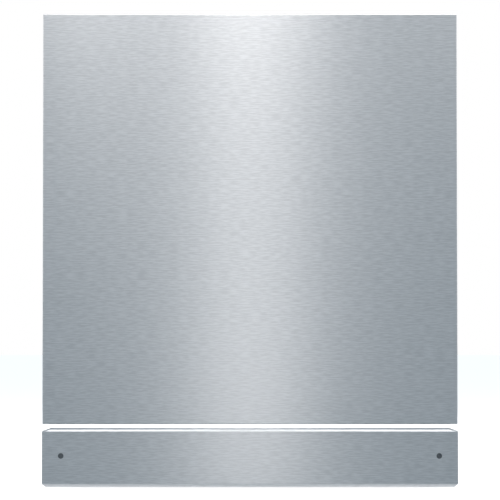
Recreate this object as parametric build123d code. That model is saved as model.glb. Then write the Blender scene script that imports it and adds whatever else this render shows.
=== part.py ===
"""Built-in dishwasher, 60 cm class, reduced height, with a steel door front and a steel plinth.

Frame: millimetres, +Z up, origin on the floor under the middle of the machine.
The door faces -Y. The model is made with the door shut, both racks home and the feet screwed in.
"""

import math
import os

from build123d import *

# ---------------------------------------------------------------- driving dimensions
WIDTH = 598.0  # over the side panels
DEPTH = 560.0  # door front to rear cover
HEIGHT = 681.0  # floor to the top of the door front
FRONT, REAR = -DEPTH / 2, DEPTH / 2
SHEET = 1.0  # steel sheet

# decor panel on the door
PANEL_W, PANEL_H, PANEL_T = 595.0, 589.1, 18.0
PANEL_Z0, PANEL_Z1 = HEIGHT - PANEL_H, HEIGHT
FOLD_R = 1.0

# plinth: flat face, sloping top ledge with an upstand lip, bevelled foot
PLINTH_W = 596.0
PLINTH_Z0, PLINTH_FOOT_Z, PLINTH_FACE_Z, PLINTH_LEDGE_Z, PLINTH_LIP_Z = 2.0, 6.6, 81.4, 85.0, 86.6
PLINTH_LEDGE_D = 12.0
PLINTH_SCREW_X, PLINTH_SCREW_Z = 271.0, 46.5
PLINTH_SCREW_R, PLINTH_HEAD_R, PLINTH_HEAD_T = 2.4, 4.0, 1.6

# door: hinge line, inner door and its planes
HINGE_Y, HINGE_Z = -240.0, 134.0
HINGE_PIN_R, HINGE_BORE_R = 4.0, 4.05
DOOR_HALF_W = 293.0
SHELL_Y, LINER_Y = -258.0, -222.0  # outer face of the shell, tub-side face of the liner
DOOR_Z0, DOOR_Z1 = 120.0, 676.0
RECESS_Y = -229.0  # tub-side face of the liner's sunk field
RECESS_X, RECESS_Z0, RECESS_Z1, RECESS_R = 215.0, 176.0, 604.0, 26.0

# tub: inside faces
TUB_X, TUB_Y0, TUB_Y1 = 272.0, -214.0, 256.0
TUB_TOP, LEDGE_Z, FLOOR_Z = 645.0, 152.0, 138.0
LEDGE_X, FLOOR_X = 236.0, 226.0  # the ledge's inner edge, the floor's edge
FRAME_TOP = 674.0

# base tray
BASE_X, BASE_Y0, BASE_Y1, BASE_Z0, BASE_Z1, BASE_WALL = 293.5, -205.0, 279.0, 12.0, 118.0, 3.0
FOOT_X, FOOT_FRONT_Y, FOOT_REAR_Y = 262.0, -165.0, 235.0
FOOT_STEM_R, FOOT_PAD_R, FOOT_PAD_H = 6.0, 22.0, 10.0

# water works
SUMP_X, SUMP_Y, SUMP_R = 40.0, -10.0, 118.0
ARM_Y = 10.0  # spin axis of both spray arms, at x = 0
ARM_REACH = 214.0
HUB_R, HUB_BORE_R = 10.0, 10.06
FILTER_X, FILTER_Y, FILTER_R = 95.0, -45.0, 38.0
SALT_X, SALT_Y, SALT_R = -150.0, -90.0, 30.0

# racks
WIRE = 4.0
LOW_X, LOW_Y0, LOW_Y1, LOW_Z0, LOW_Z1 = 240.0, -203.0, 234.0, 180.0, 300.0
UP_X, UP_Y0, UP_Y1, UP_Z0, UP_Z1 = 250.0, -205.0, 232.0, 458.0, 560.0
WHEEL_R, WHEEL_X, WHEEL_W = 16.0, 250.0, 10.0
WHEEL_YS = (-110.0, 150.0)
RAIL_Z = 504.0

# control strip buttons: name, x
BUTTONS = {"power_button": -240.0, "program_button": -170.0, "start_button": 240.0}
BUTTON_L, BUTTON_D = 20.0, 12.0


# ---------------------------------------------------------------- helpers
def slab(x0, x1, y0, y1, z0, z1):
    """A box between two corners."""
    centre = Pos((x0 + x1) / 2, (y0 + y1) / 2, (z0 + z1) / 2)
    return centre * Box(x1 - x0, y1 - y0, z1 - z0)


def post(x, y, z0, z1, radius):
    """An upright cylinder."""
    return Pos(x, y, (z0 + z1) / 2) * Cylinder(radius, z1 - z0)


def rod_x(x0, x1, y, z, radius):
    """A cylinder along X."""
    return Pos((x0 + x1) / 2, y, z) * Rot(0, 90, 0) * Cylinder(radius, x1 - x0)


def rod_y(x, y0, y1, z, radius):
    """A cylinder along Y."""
    return Pos(x, (y0 + y1) / 2, z) * Rot(90, 0, 0) * Cylinder(radius, y1 - y0)


def side_plate(points, x0, x1):
    """A plate with an outline of (y, z) points, between two x values."""
    outline = make_face(Polyline(*[(x0, y, z) for y, z in points], close=True))
    return extrude(outline, amount=x1 - x0, dir=(1, 0, 0))


def pair(shape):
    """The right-hand piece and its mirror image on the left."""
    return [shape, mirror(shape, about=Plane.YZ)]


def spread(low, high, count):
    """Evenly spaced values from low to high."""
    return [low + (high - low) * i / (count - 1) for i in range(count)]


def fused(shapes):
    """One solid from many that touch or overlap."""
    first, *rest = shapes
    return first.fuse(*rest).clean() if rest else first


def save(name, *shapes):
    """Writes one node, as the separate solids in the given shapes."""
    solids = []
    for shape in shapes:
        for piece in shape if isinstance(shape, list) else [shape]:
            solids.extend(piece.solids())
    body = solids[0] if len(solids) == 1 else Compound(solids)
    body.label = name
    export_step(body, f"parts/{name}.step")


# ---------------------------------------------------------------- decor panel and plinth
def door_panel_skin():
    """A folded steel pan, open at the back, with soft folds round its face."""
    half = PANEL_W / 2
    block = slab(-half, half, FRONT, FRONT + PANEL_T, PANEL_Z0, PANEL_Z1)
    block = fillet(block.faces().sort_by(Axis.Y)[0].edges(), FOLD_R)
    return block - slab(
        -half + SHEET, half - SHEET, FRONT + SHEET, 0, PANEL_Z0 + SHEET, PANEL_Z1 - SHEET
    )


SHOE_X, SHOE_HALF, SHOE_H = 200.0, 12.0, 40.0
SHOE_ZS = (205.0, 520.0)
T_HEAD, T_WEB = 6.0, 2.0  # half widths of the slide rail's head and web
CORE_BACK = FRONT + PANEL_T - 2.0


def door_panel_core():
    """The board inside the pan, with the four shoes that ride on the door's slide rails."""
    half = PANEL_W / 2 - SHEET
    board = slab(
        -half, half, FRONT + SHEET, CORE_BACK, PANEL_Z0 + SHEET, PANEL_Z1 - SHEET
    )
    pieces = [board]
    gap = 0.4
    for z in SHOE_ZS:
        for x in (-SHOE_X, SHOE_X):
            shoe = slab(x - SHOE_HALF, x + SHOE_HALF, CORE_BACK, SHELL_Y - gap, z, z + SHOE_H)
            slot = slab(x - T_HEAD - gap, x + T_HEAD + gap, -262.4, -259.6, z, z + SHOE_H)
            mouth = slab(x - T_WEB - gap, x + T_WEB + gap, -260.0, SHELL_Y, z, z + SHOE_H)
            pieces.append(shoe - slot - mouth)
    return fused(pieces)


def panel_slide_rails():
    """Two T rails on the inner door, which the panel's shoes climb as the door opens."""
    z0, z1 = 190.0, 620.0
    web = slab(SHOE_X - T_WEB, SHOE_X + T_WEB, -260.0, SHELL_Y, z0, z1)
    head = slab(SHOE_X - T_HEAD, SHOE_X + T_HEAD, -262.0, -260.0, z0, z1)
    return pair(web + head)


def screw_head(y):
    """The cone of a countersunk screw head whose wide end is at y."""
    cone = Rot(90, 0, 0) * Cone(PLINTH_SCREW_R, PLINTH_HEAD_R, PLINTH_HEAD_T)
    return Pos(PLINTH_SCREW_X, y + PLINTH_HEAD_T / 2, PLINTH_SCREW_Z) * cone


def plinth_panel():
    """Folded plinth sheet, with its ledge and foot mitred at both ends."""
    half, back = PLINTH_W / 2, FRONT + PLINTH_LEDGE_D
    path = [
        (FRONT + 14.0, PLINTH_Z0),
        (FRONT + PLINTH_FOOT_Z - PLINTH_Z0, PLINTH_Z0),
        (FRONT, PLINTH_FOOT_Z),
        (FRONT, PLINTH_FACE_Z),
        (back, PLINTH_LEDGE_Z),
        (back, PLINTH_LIP_Z),
    ]
    inner = [
        (back + SHEET, PLINTH_LIP_Z),
        (back + SHEET, PLINTH_LEDGE_Z - 0.75),
        (FRONT + SHEET, PLINTH_FACE_Z - 0.7),
        (FRONT + SHEET, PLINTH_FOOT_Z + 0.4),
        (FRONT + PLINTH_FOOT_Z - PLINTH_Z0 + 0.4, PLINTH_Z0 + SHEET),
        (FRONT + 14.0, PLINTH_Z0 + SHEET),
    ]
    sheet = side_plate(path + inner, -half, half)
    for sign in (-1, 1):
        corner = [(sign * half, FRONT), (sign * half, FRONT + 20.0), (sign * (half - 20.0), FRONT + 20.0)]
        wedge = make_face(Polyline(*[(x, y, 0) for x, y in corner], close=True))
        for z0, z1 in ((0, PLINTH_FOOT_Z), (PLINTH_FACE_Z, PLINTH_LIP_Z + 1)):
            sheet -= Pos(0, 0, z0) * extrude(wedge, amount=z1 - z0, dir=(0, 0, 1))
    return sheet - pair(screw_head(FRONT))


def plinth_seal():
    """Pale rubber strip behind the plinth's lip, which closes the gap under the door front."""
    half, back = PANEL_W / 2 - 0.5, FRONT + PLINTH_LEDGE_D + SHEET
    return slab(-half, half, back, back + 4.0, PLINTH_LEDGE_Z - 0.5, PANEL_Z0 - 1.0)


def plinth_screws():
    """Two countersunk screws, flush with the plinth, that hold it to its brackets."""
    shank = rod_y(PLINTH_SCREW_X, FRONT + 0.5, FRONT + 22.0, PLINTH_SCREW_Z, PLINTH_SCREW_R)
    drive = Pos(PLINTH_SCREW_X, FRONT, PLINTH_SCREW_Z) * (Box(4.0, 2.0, 1.1) + Box(1.1, 2.0, 4.0))
    return pair(shank + screw_head(FRONT) - drive)


def plinth_brackets():
    """Two folded straps from the base tray's front wall to the back of the plinth."""
    x0, x1, z0, z1, t = 256.0, 286.0, 34.0, 60.0, 2.0
    front = slab(x0, x1, FRONT + SHEET, FRONT + SHEET + t, z0, z1)
    arm = slab(x0, x1, FRONT + SHEET, BASE_Y0, z0, z0 + t)
    rear = slab(x0, x1, BASE_Y0 - t, BASE_Y0, z0, z1)
    hole = rod_y(PLINTH_SCREW_X, FRONT, FRONT + 5.0, PLINTH_SCREW_Z, PLINTH_SCREW_R + 0.1)
    return pair(front + arm + rear - hole - screw_head(FRONT))


# ---------------------------------------------------------------- inner door
def door_outer_shell():
    """Galvanised tray that carries the decor panel, with holes for the hinge pins."""
    w = DOOR_HALF_W
    top = DOOR_Z1 - 4.0
    shell = slab(-w, w, SHELL_Y, SHELL_Y + 26.0, DOOR_Z0, top)
    shell -= slab(-w + SHEET, w - SHEET, SHELL_Y + SHEET, 0, DOOR_Z0 + SHEET, top + 1)
    return shell - rod_x(-w - 1, w + 1, HINGE_Y, HINGE_Z, HINGE_PIN_R + 0.5)


def door_liner():
    """Stainless inner door: flat rim for the gasket, sunk field, cut-outs for dispenser and strike."""
    w, z0, z1, lap = DOOR_HALF_W - 1.5, DOOR_Z0 + 2.0, DOOR_Z1 - 2.0, 12.0
    tray = slab(-w, w, LINER_Y - lap, LINER_Y, z0, z1)
    tray -= slab(-w + SHEET, w - SHEET, LINER_Y - lap - 1, LINER_Y - SHEET, z0 + SHEET, z1 + 1)

    def field(inset, y0, y1):
        block = slab(
            -RECESS_X + inset, RECESS_X - inset, y0, y1, RECESS_Z0 + inset, RECESS_Z1 - inset
        )
        return fillet(block.edges().filter_by(Axis.Y), RECESS_R - inset)

    tray -= field(0, LINER_Y - SHEET, LINER_Y)
    tray += field(0, RECESS_Y - SHEET, LINER_Y) - field(SHEET, RECESS_Y, LINER_Y + 1)
    tray -= slab(-79.0, 79.0, RECESS_Y - 5, LINER_Y + 5, 324.0, 428.0)
    tray -= slab(-17.0, 17.0, LINER_Y - 5, LINER_Y + 5, 655.0, 669.0)
    for x0, x1 in ((287.0, w + 1), (-w - 1, -287.0)):
        tray -= slab(x0, x1, LINER_Y - lap - 1, LINER_Y + 1, z0 - 1, 186.0)
    return tray


def door_insulation():
    """Felt and bitumen mat between shell and liner, cut away round the dispenser."""
    mat = slab(-272.0, 272.0, SHELL_Y + SHEET + 0.5, -238.0, 150.0, 630.0)
    return mat - slab(-84.0, 84.0, SHELL_Y, -230.0, 316.0, 436.0)


ARM_X0, ARM_X1 = 282.5, 286.5
SPRING_Z, SPRING_X = 160.0, 288.0


def hinge_arms():
    """Steel hinge arms inside the door, with the hinge bore and the rivet for the spring."""
    blade = side_plate(
        [(-253.0, 134.0), (-227.0, 134.0), (-227.0, 300.0), (-232.0, 336.0), (-253.0, 336.0)],
        ARM_X0,
        ARM_X1,
    )
    foot = rod_x(ARM_X0, ARM_X1, HINGE_Y, HINGE_Z, 12.5)
    arm = blade + foot + rod_x(ARM_X1, 291.2, HINGE_Y, SPRING_Z, 2.5)
    return pair(arm - rod_x(ARM_X0 - 1, ARM_X1 + 1, HINGE_Y, HINGE_Z, HINGE_BORE_R))


def hinge_brackets():
    """Plates on the base tray's sides, each with its welded hinge pin."""
    x0, x1 = BASE_X, BASE_X + 3.0
    plate = side_plate(
        [
            (-240.0, 124.0), (-204.0, 102.0), (-150.0, 102.0),
            (-150.0, 112.0), (-196.0, 146.0), (-240.0, 144.0),
        ],
        x0,
        x1,
    )
    pin = rod_x(ARM_X0 - 1.5, x1, HINGE_Y, HINGE_Z, HINGE_PIN_R)
    return pair(plate + rod_x(x0, x1, HINGE_Y, HINGE_Z, 10.0) + pin)


def door_springs():
    """Balance springs beside the tub, hooked to the hinge arms and to tabs on the tub."""
    coil = rod_y(SPRING_X - 2.0, -190.0, -70.0, SPRING_Z, 7.0)
    core = rod_y(SPRING_X - 2.0, -189.0, -71.0, SPRING_Z, 5.0)
    hook = slab(SPRING_X - 1.0, SPRING_X + 1.0, -243.5, -189.5, SPRING_Z - 4.5, SPRING_Z + 4.5)
    hook -= rod_x(SPRING_X - 2, SPRING_X + 2, HINGE_Y, SPRING_Z, 2.7)
    tail = slab(SPRING_X - 3.0, SPRING_X - 1.0, -70.5, -54.0, SPRING_Z - 4.0, SPRING_Z + 4.0)
    tab = slab(TUB_X + SHEET, SPRING_X + 2.0, -54.0, -51.0, SPRING_Z - 10.0, SPRING_Z + 10.0)
    return pair(coil - core + hook + tail + tab)


def control_housing():
    """Black strip on the door's top edge, with the latch body moulded in under it."""
    w, y0, y1, z0, z1, t = DOOR_HALF_W - 3.0, -256.0, -224.0, 640.0, DOOR_Z1, 2.5
    box = slab(-w, w, y0, y1, z0, z1)
    box -= slab(-w + t, w - t, y0 + t, y1 - t, z0 - 1, z1 - t)
    for x in BUTTONS.values():
        box -= Pos(x, -240.0, z1) * Box(BUTTON_L + 0.8, BUTTON_D + 0.8, 8.0)
    box -= slab(59.6, 150.4, -248.4, -231.6, z1 - t - 1, z1 + 1)
    box -= slab(-17.0, 17.0, y1 - t - 1, y1 + 1, 655.0, 669.0)
    cheek = slab(7.5, 10.0, y0 + t, -240.0, 640.0, 664.0)
    axle = rod_x(-9.5, 9.5, LATCH_Y, LATCH_Z, 2.0)
    return fused([box, cheek, mirror(cheek, about=Plane.YZ), axle])


def display_lens():
    """Dark window over the display, flush with the strip."""
    return slab(60.0, 150.0, -248.0, -232.0, DOOR_Z1 - 2.5, DOOR_Z1)


def button(x):
    """A push button with a skirt under the strip that keeps it in."""
    top = Pos(x, -240.0, DOOR_Z1 - 2.5) * Box(BUTTON_L, BUTTON_D, 7.0)
    top = fillet(top.edges().filter_by(Axis.Z), 2.0)
    skirt = Pos(x, -240.0, DOOR_Z1 - 4.7) * Box(BUTTON_L + 4.0, BUTTON_D + 4.0, 2.0)
    return top + skirt


LATCH_Y, LATCH_Z, LATCH_DROP = -249.0, 658.0, 14.0
STRIKE_Y, STRIKE_Z = -236.0, 664.0


def latch_hook():
    """Hook that catches the strike from below, lowered to let it go."""
    arm = slab(-6.0, 6.0, LATCH_Y, -229.5, 656.0, 660.5)
    nose = slab(-6.0, 6.0, -233.2, -229.5, 660.0, 665.5)
    boss = rod_x(-6.0, 6.0, LATCH_Y, LATCH_Z, 4.0)
    hook = arm + nose + boss - rod_x(-7, 7, LATCH_Y, LATCH_Z, 2.05)
    pivot = Pos(0, LATCH_Y, LATCH_Z)
    return pivot * Rot(-LATCH_DROP, 0, 0) * pivot.inverse() * hook


def door_strike():
    """Steel loop on the tub's frame that the latch hook holds."""
    legs = [rod_y(x, STRIKE_Y, TUB_Y0, STRIKE_Z, 2.0) for x in (-13.0, 13.0)]
    bar = rod_x(-13.0, 13.0, STRIKE_Y, STRIKE_Z, 2.0)
    corners = [Pos(x, STRIKE_Y, STRIKE_Z) * Sphere(2.0) for x in (-13.0, 13.0)]
    plate = slab(-22.0, 22.0, TUB_Y0 - 2.0, TUB_Y0, STRIKE_Z - 3.8, STRIKE_Z + 8.0)
    return fused([plate, bar, *legs, *corners])


# dispenser: hinge lines of its two lids
LID_Y, LID_Z, CAP_Z = -222.6, 336.0, 384.0


def dispenser_body():
    """Detergent and rinse-aid dispenser, set in the liner's sunk field."""
    flange = slab(-85.0, 85.0, RECESS_Y, -225.4, 318.0, 434.0)
    flange = fillet(flange.edges().filter_by(Axis.Y), 8.0)
    box = slab(-78.0, 78.0, -254.0, RECESS_Y, 325.0, 427.0)
    body = flange + box
    body -= slab(-70.0, -12.0, -248.0, -225.0, 344.0, 412.0)
    body -= rod_y(40.0, -250.0, -225.0, 402.0, 13.0)
    lugs = ((-77.0, -70.0, LID_Z), (-12.0, -5.0, LID_Z), (22.0, 27.0, CAP_Z), (53.0, 58.0, CAP_Z))
    for x0, x1, z in lugs:
        lug = slab(x0 + 0.5, x1 - 0.5, -226.0, LID_Y + 1.8, z - 1.8, z + 1.8)
        body += lug
    body += rod_x(-76.5, -5.5, LID_Y, LID_Z, 1.0)
    body += rod_x(22.5, 57.5, LID_Y, CAP_Z, 1.0)
    return body


def flip_lid(x0, x1, hinge_z, height):
    """A lid plate that turns on a pin along its lower edge."""
    plate = slab(x0, x1, LID_Y - 1.8, LID_Y + 1.0, hinge_z, hinge_z + height)
    barrel = rod_x(x0, x1, LID_Y, hinge_z, 2.2)
    return plate + barrel - rod_x(x0 - 1, x1 + 1, LID_Y, hinge_z, 1.05)


def detergent_lid():
    """Lid of the detergent cup."""
    lid = flip_lid(-69.5, -12.5, LID_Z, 80.0)
    return lid + slab(-50.0, -32.0, LID_Y + 1.0, LID_Y + 2.2, LID_Z + 68.0, LID_Z + 74.0)


def rinse_aid_cap():
    """Flap over the rinse-aid filler."""
    return flip_lid(27.5, 52.5, CAP_Z, 36.0)


# ---------------------------------------------------------------- tub and casing
def tub_wrapper():
    """Stainless sheet bent over the two sides and the top, with the door frame turned out at its front."""
    x, z0, z1 = TUB_X + SHEET, 141.0, TUB_TOP + SHEET
    wrap = slab(-x, x, TUB_Y0, TUB_Y1, z0, z1)
    wrap -= slab(-TUB_X, TUB_X, TUB_Y0 - 1, TUB_Y1 + 1, z0 - 1, TUB_TOP)
    frame = slab(-298.0, 298.0, TUB_Y0, TUB_Y0 + SHEET, 176.0, FRAME_TOP)
    frame -= slab(-x, x, TUB_Y0 - 1, TUB_Y0 + 2, 100.0, TUB_TOP)
    return wrap + frame


def tub_rear_wall():
    """Rear wall of the tub, with a shallow pressed field."""
    x = TUB_X + SHEET
    wall = slab(-x, x, TUB_Y1, TUB_Y1 + SHEET, 119.0, TUB_TOP + SHEET)
    outer = slab(-210.0, 210.0, TUB_Y1, TUB_Y1 + 6.0, 230.0, 600.0)
    inner = slab(-209.0, 209.0, TUB_Y1 - 1, TUB_Y1 + 5.0, 231.0, 599.0)
    return wall + outer - inner


def tub_floor():
    """Tub bottom: wheel ledges at the sides, a sunk floor, the sill, and holes for sump and salt."""
    top = [
        (-TUB_X, LEDGE_Z), (-LEDGE_X, LEDGE_Z), (-FLOOR_X, FLOOR_Z),
        (FLOOR_X, FLOOR_Z), (LEDGE_X, LEDGE_Z), (TUB_X, LEDGE_Z),
    ]
    under = [(x, z - SHEET) for x, z in reversed(top)]
    outline = make_face(Polyline(*[(x, TUB_Y0 + SHEET, z) for x, z in top + under], close=True))
    pan = extrude(outline, amount=TUB_Y1 - TUB_Y0 - SHEET, dir=(0, 1, 0))
    sill = slab(-TUB_X, TUB_X, TUB_Y0, TUB_Y0 + SHEET, 119.0, LEDGE_Z)
    pan += sill
    pan -= post(SUMP_X, SUMP_Y, 100.0, 140.0, SUMP_R)
    return pan - post(SALT_X, SALT_Y, 100.0, 140.0, SALT_R + 4.0)


def tub_gasket():
    """Rubber seal round the tub's mouth, and a low lip on the sill that the door's lower edge swings past."""
    y0, y1 = LINER_Y + 0.4, TUB_Y0
    side = slab(276.0, 285.0, y0, y1, 152.5, 659.0)
    top = slab(-285.0, 285.0, y0, y1, 649.5, 659.0)
    lip = slab(-271.0, 271.0, y1 - 3.6, y1, 142.0, 149.0)
    return [fused([top, side, mirror(side, about=Plane.YZ)]), lip]


# beads pressed into the casing: height, corner radius and depth
BEAD_H, BEAD_R, BEAD_D = 34.0, 15.0, 3.0


def bead(middle, along, inward, length):
    """The sloping-sided hollow of a bead, from the sheet's outer face inward."""
    outline = Plane(origin=middle, x_dir=along, z_dir=inward) * RectangleRounded(length, BEAD_H, BEAD_R)
    return extrude(outline, amount=BEAD_D, taper=45)


def beaded(sheet, beads, inward):
    """A sheet with beads pressed into it."""
    for hollow in beads:
        sheet = sheet + Pos(*[SHEET * v for v in inward]) * hollow - hollow
    return sheet


def side_panels():
    """Galvanised side sheets, turned in at top and rear, with three long pressed beads."""
    x0, x1, y0, y1, z0 = WIDTH / 2 - SHEET, WIDTH / 2, TUB_Y0 + 1.5, REAR - 2.0, BASE_Z1
    panel = slab(x0, x1, y0, y1, z0, FRAME_TOP)
    panel += slab(x0 - 14.0, x0, y0, y1, FRAME_TOP - SHEET, FRAME_TOP)
    panel += slab(x0 - 10.0, x0, y1 - SHEET, y1, z0 + 2.0, FRAME_TOP)
    beads = [bead((x1, 32.0, z), (0, 1, 0), (-1, 0, 0), 390.0) for z in (210.0, 390.0, 570.0)]
    return pair(beaded(panel, beads, (-1, 0, 0)))


def rear_cover():
    """Rear sheet over the tub's back, with louvres, two upright beads and two beads across."""
    cover = slab(-WIDTH / 2, WIDTH / 2, REAR - SHEET, REAR, BASE_Z1 + 2.0, FRAME_TOP)
    beads = [bead((x, REAR, 400.0), (0, 0, 1), (0, -1, 0), 420.0) for x in (-225.0, 225.0)]
    beads += [bead((0.0, REAR, z), (1, 0, 0), (0, -1, 0), 320.0) for z in (370.0, 560.0)]
    cover = beaded(cover, beads, (0, -1, 0))
    for z in spread(200.0, 260.0, 5):
        cover -= slab(-60.0, 60.0, REAR - 2, REAR + 1, z, z + 5.0)
    return cover


TAB_X, TAB_Y, TAB_HOLE_R = 230.0, -196.0, 2.75


def top_rail():
    """Cross channel over the tub's mouth, with two holes for the worktop screws."""
    t, y0, y1, x = 1.5, TUB_Y0 + SHEET + 0.5, -180.0, 283.5
    rail = slab(-x, x, y0, y1, 648.0, FRAME_TOP)
    rail -= slab(-x - 1, x + 1, y0 + t, y1 - t, 640.0, FRAME_TOP - t)
    for hole_x in (-TAB_X, TAB_X):
        rail -= post(hole_x, TAB_Y, FRAME_TOP - 5, FRAME_TOP + 1, TAB_HOLE_R)
    return rail


def tub_insulation():
    """Felt blankets over the top, both sides and the back of the tub."""
    x = TUB_X + SHEET
    top = slab(-262.0, 262.0, -172.0, 250.0, TUB_TOP + SHEET, 658.0)
    side = slab(x, x + 6.0, -200.0, 250.0, 190.0, 640.0)
    back = slab(-262.0, 262.0, TUB_Y1 + 6.5, REAR - 6.0, 160.0, 640.0)
    return [top, *pair(side), back]


# ---------------------------------------------------------------- base and water works
def base_tray():
    """Moulded base with ribs, sockets for the feet and openings for water and mains at the rear."""
    x, w = BASE_X, BASE_WALL
    tray = slab(-x, x, BASE_Y0, BASE_Y1, BASE_Z0, BASE_Z1)
    tray = fillet(tray.edges().filter_by(Axis.Z), 12.0)
    tray -= slab(-x + w, x - w, BASE_Y0 + w, BASE_Y1 - w, BASE_Z0 + w, BASE_Z1 + 1)
    ribs = [slab(-x + w, x - w, y, y + w, BASE_Z0 + w, 30.0) for y in (-100.0, 214.0)]
    sockets = [
        post(sign * FOOT_X, y, BASE_Z0 + w, 74.0, 13.0)
        for sign in (-1, 1)
        for y in (FOOT_FRONT_Y, FOOT_REAR_Y)
    ]
    tray = fused([tray, *ribs, *sockets])
    for sign in (-1, 1):
        for y in (FOOT_FRONT_Y, FOOT_REAR_Y):
            tray -= post(sign * FOOT_X, y, BASE_Z0 - 1, 75.0, FOOT_STEM_R + 0.15)
    for x0, x1 in ((-235.0, -165.0), (165.0, 235.0), (-30.0, 50.0)):
        tray -= slab(x0, x1, BASE_Y1 - w - 1, BASE_Y1 + 1, 40.0, 100.0)
    for z in (46.0, 62.0, 78.0):
        tray -= slab(-150.0, 150.0, BASE_Y0 - 1, BASE_Y0 + w + 1, z, z + 6.0)
    return tray


def foot(x, y):
    """A levelling foot: pad, nut flats and stem."""
    pad = post(x, y, 0, FOOT_PAD_H, FOOT_PAD_R)
    pad = chamfer(pad.faces().sort_by(Axis.Z)[-1].edges(), 2.5)
    nut = Pos(x, y, FOOT_PAD_H) * extrude(RegularPolygon(9.0, 6), amount=1.6)
    return pad + nut + post(x, y, FOOT_PAD_H, 70.0, FOOT_STEM_R)


def sump():
    """Sump cup under the tub floor, with the arm's hub tower and the well for the filter."""
    cup = post(SUMP_X, SUMP_Y, 92.0, FLOOR_Z - SHEET, SUMP_R)
    cup -= post(SUMP_X, SUMP_Y, 96.0, FLOOR_Z, SUMP_R - 4.0)
    flange = post(SUMP_X, SUMP_Y, FLOOR_Z - SHEET - 4.0, FLOOR_Z - SHEET, SUMP_R + 6.0)
    flange -= post(SUMP_X, SUMP_Y, 100.0, FLOOR_Z, SUMP_R - 4.0)
    well = post(FILTER_X, FILTER_Y, 60.0, 96.0, FILTER_R + 7.0)
    well -= post(FILTER_X, FILTER_Y, 64.0, 97.0, FILTER_R + 4.0)
    floor_hole = post(FILTER_X, FILTER_Y, 90.0, 97.0, FILTER_R + 4.0)
    tower = post(0, ARM_Y, 94.0, 142.0, 15.0) + post(0, ARM_Y, 142.0, 160.0, HUB_R)
    return fused([cup, flange, tower]) - floor_hole + well


def fine_filter():
    """Flat filter plate level with the tub floor, open for the filter cylinder and the hub tower."""
    plate = post(SUMP_X, SUMP_Y, FLOOR_Z - SHEET, FLOOR_Z + 0.5, SUMP_R - 0.5)
    plate -= post(FILTER_X, FILTER_Y, 130.0, 140.0, FILTER_R + 0.6)
    return plate - post(0, ARM_Y, 130.0, 140.0, 15.5)


def filter_cylinder():
    """Coarse filter that twists out of the sump, with a finger bar across its open top."""
    body = post(FILTER_X, FILTER_Y, 66.0, 143.0, FILTER_R)
    rim = post(FILTER_X, FILTER_Y, FLOOR_Z + 0.8, 143.0, FILTER_R + 5.0)
    bore = post(FILTER_X, FILTER_Y, 69.0, 144.0, FILTER_R - 3.0)
    bar = Pos(FILTER_X, FILTER_Y, 141.0) * Box(2 * FILTER_R - 2, 5.0, 9.0)
    return fused([body + rim - bore, bar])


def water_softener():
    """Salt tank under the floor, with its filler neck."""
    tank = slab(-232.0, -104.0, -150.0, -20.0, 40.0, 126.0)
    tank = fillet(tank.edges().filter_by(Axis.Z), 14.0)
    neck = post(SALT_X, SALT_Y, 126.0, FLOOR_Z + 1.0, SALT_R + 3.0)
    bore = post(SALT_X, SALT_Y, 70.0, FLOOR_Z + 4.0, SALT_R - 5.0)
    return tank + neck - bore


def salt_cap():
    """Screw cap of the salt tank, with a grip bar."""
    z = FLOOR_Z + 1.4
    cap = post(SALT_X, SALT_Y, z, z + 4.0, SALT_R + 3.0)
    plug = post(SALT_X, SALT_Y, z - 9.0, z, SALT_R - 5.4)
    bar = Pos(SALT_X, SALT_Y, z + 5.0) * Box(44.0, 8.0, 2.2)
    return cap + plug + bar


def circulation_pump():
    """Pump volute and motor, lying across the machine, piped to the sump."""
    y, z = 160.0, 72.0
    motor = rod_x(-170.0, -50.0, y, z, 46.0)
    cap = rod_x(-182.0, -170.0, y, z, 30.0)
    volute = rod_x(-50.0, -6.0, y, z, 52.0)
    outlet = rod_y(0.0, 108.0, y, 112.0, 13.0)
    inlet = rod_x(-6.0, 24.0, y, z, 17.0)
    elbow = rod_y(24.0, 108.0, y, 108.0, 13.0)
    riser = post(24.0, y, z, 108.0, 14.0)
    neck = rod_x(-20.0, 10.0, y, 112.0, 13.0)
    return fused([motor, cap, volute, neck, outlet, inlet, riser, elbow])


def drain_pump():
    """Drain pump on the side of the sump's well, with its hose spigot."""
    y, z = FILTER_Y, 66.0
    body = rod_x(FILTER_X + FILTER_R + 7.2, 200.0, y, z, 24.0)
    motor = slab(200.0, 226.0, y - 20.0, y + 20.0, z - 22.0, z + 22.0)
    spigot = rod_y(170.0, y + 18.0, y + 62.0, HOSE_Z, 9.0)
    return fused([body, motor, spigot])


def drain_hose():
    """Drain hose clipped inside the base, from the pump to the outlet spigot at the rear."""
    r, x0, x1, z = 11.0, 170.0, OUTLET_X, HOSE_Z
    route = FilletPolyline((x0, 18.0, z), (x0, 90.0, z), (x1, 130.0, z), (x1, 254.0, z), radius=30.0)
    hose = sweep(Plane(origin=route @ 0, z_dir=route % 0) * Circle(r), path=route)
    return [hose, rod_y(x1, 254.0, OUTLET_Y, z, OUTLET_R)]


HOSE_Z = 70.0
OUTLET_X, OUTLET_Y, OUTLET_R = 210.0, 279.0, 9.5
INLET_X, INLET_Z, INLET_R = -200.0, 70.0, 13.2


def water_inlet_valve():
    """Solenoid valve with the threaded spigot for the supply hose."""
    body = slab(INLET_X - 24.0, INLET_X + 24.0, 222.0, 254.0, 46.0, 94.0)
    coil = post(INLET_X, 238.0, 94.0, 114.0, 15.0)
    collar = rod_y(INLET_X, 254.0, 262.0, INLET_Z, 17.0)
    spigot = rod_y(INLET_X, 262.0, OUTLET_Y, INLET_Z, INLET_R)
    shape = fused([body, coil, collar, spigot])
    return shape - rod_y(INLET_X, 250.0, OUTLET_Y + 1, INLET_Z, 8.0)


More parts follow.
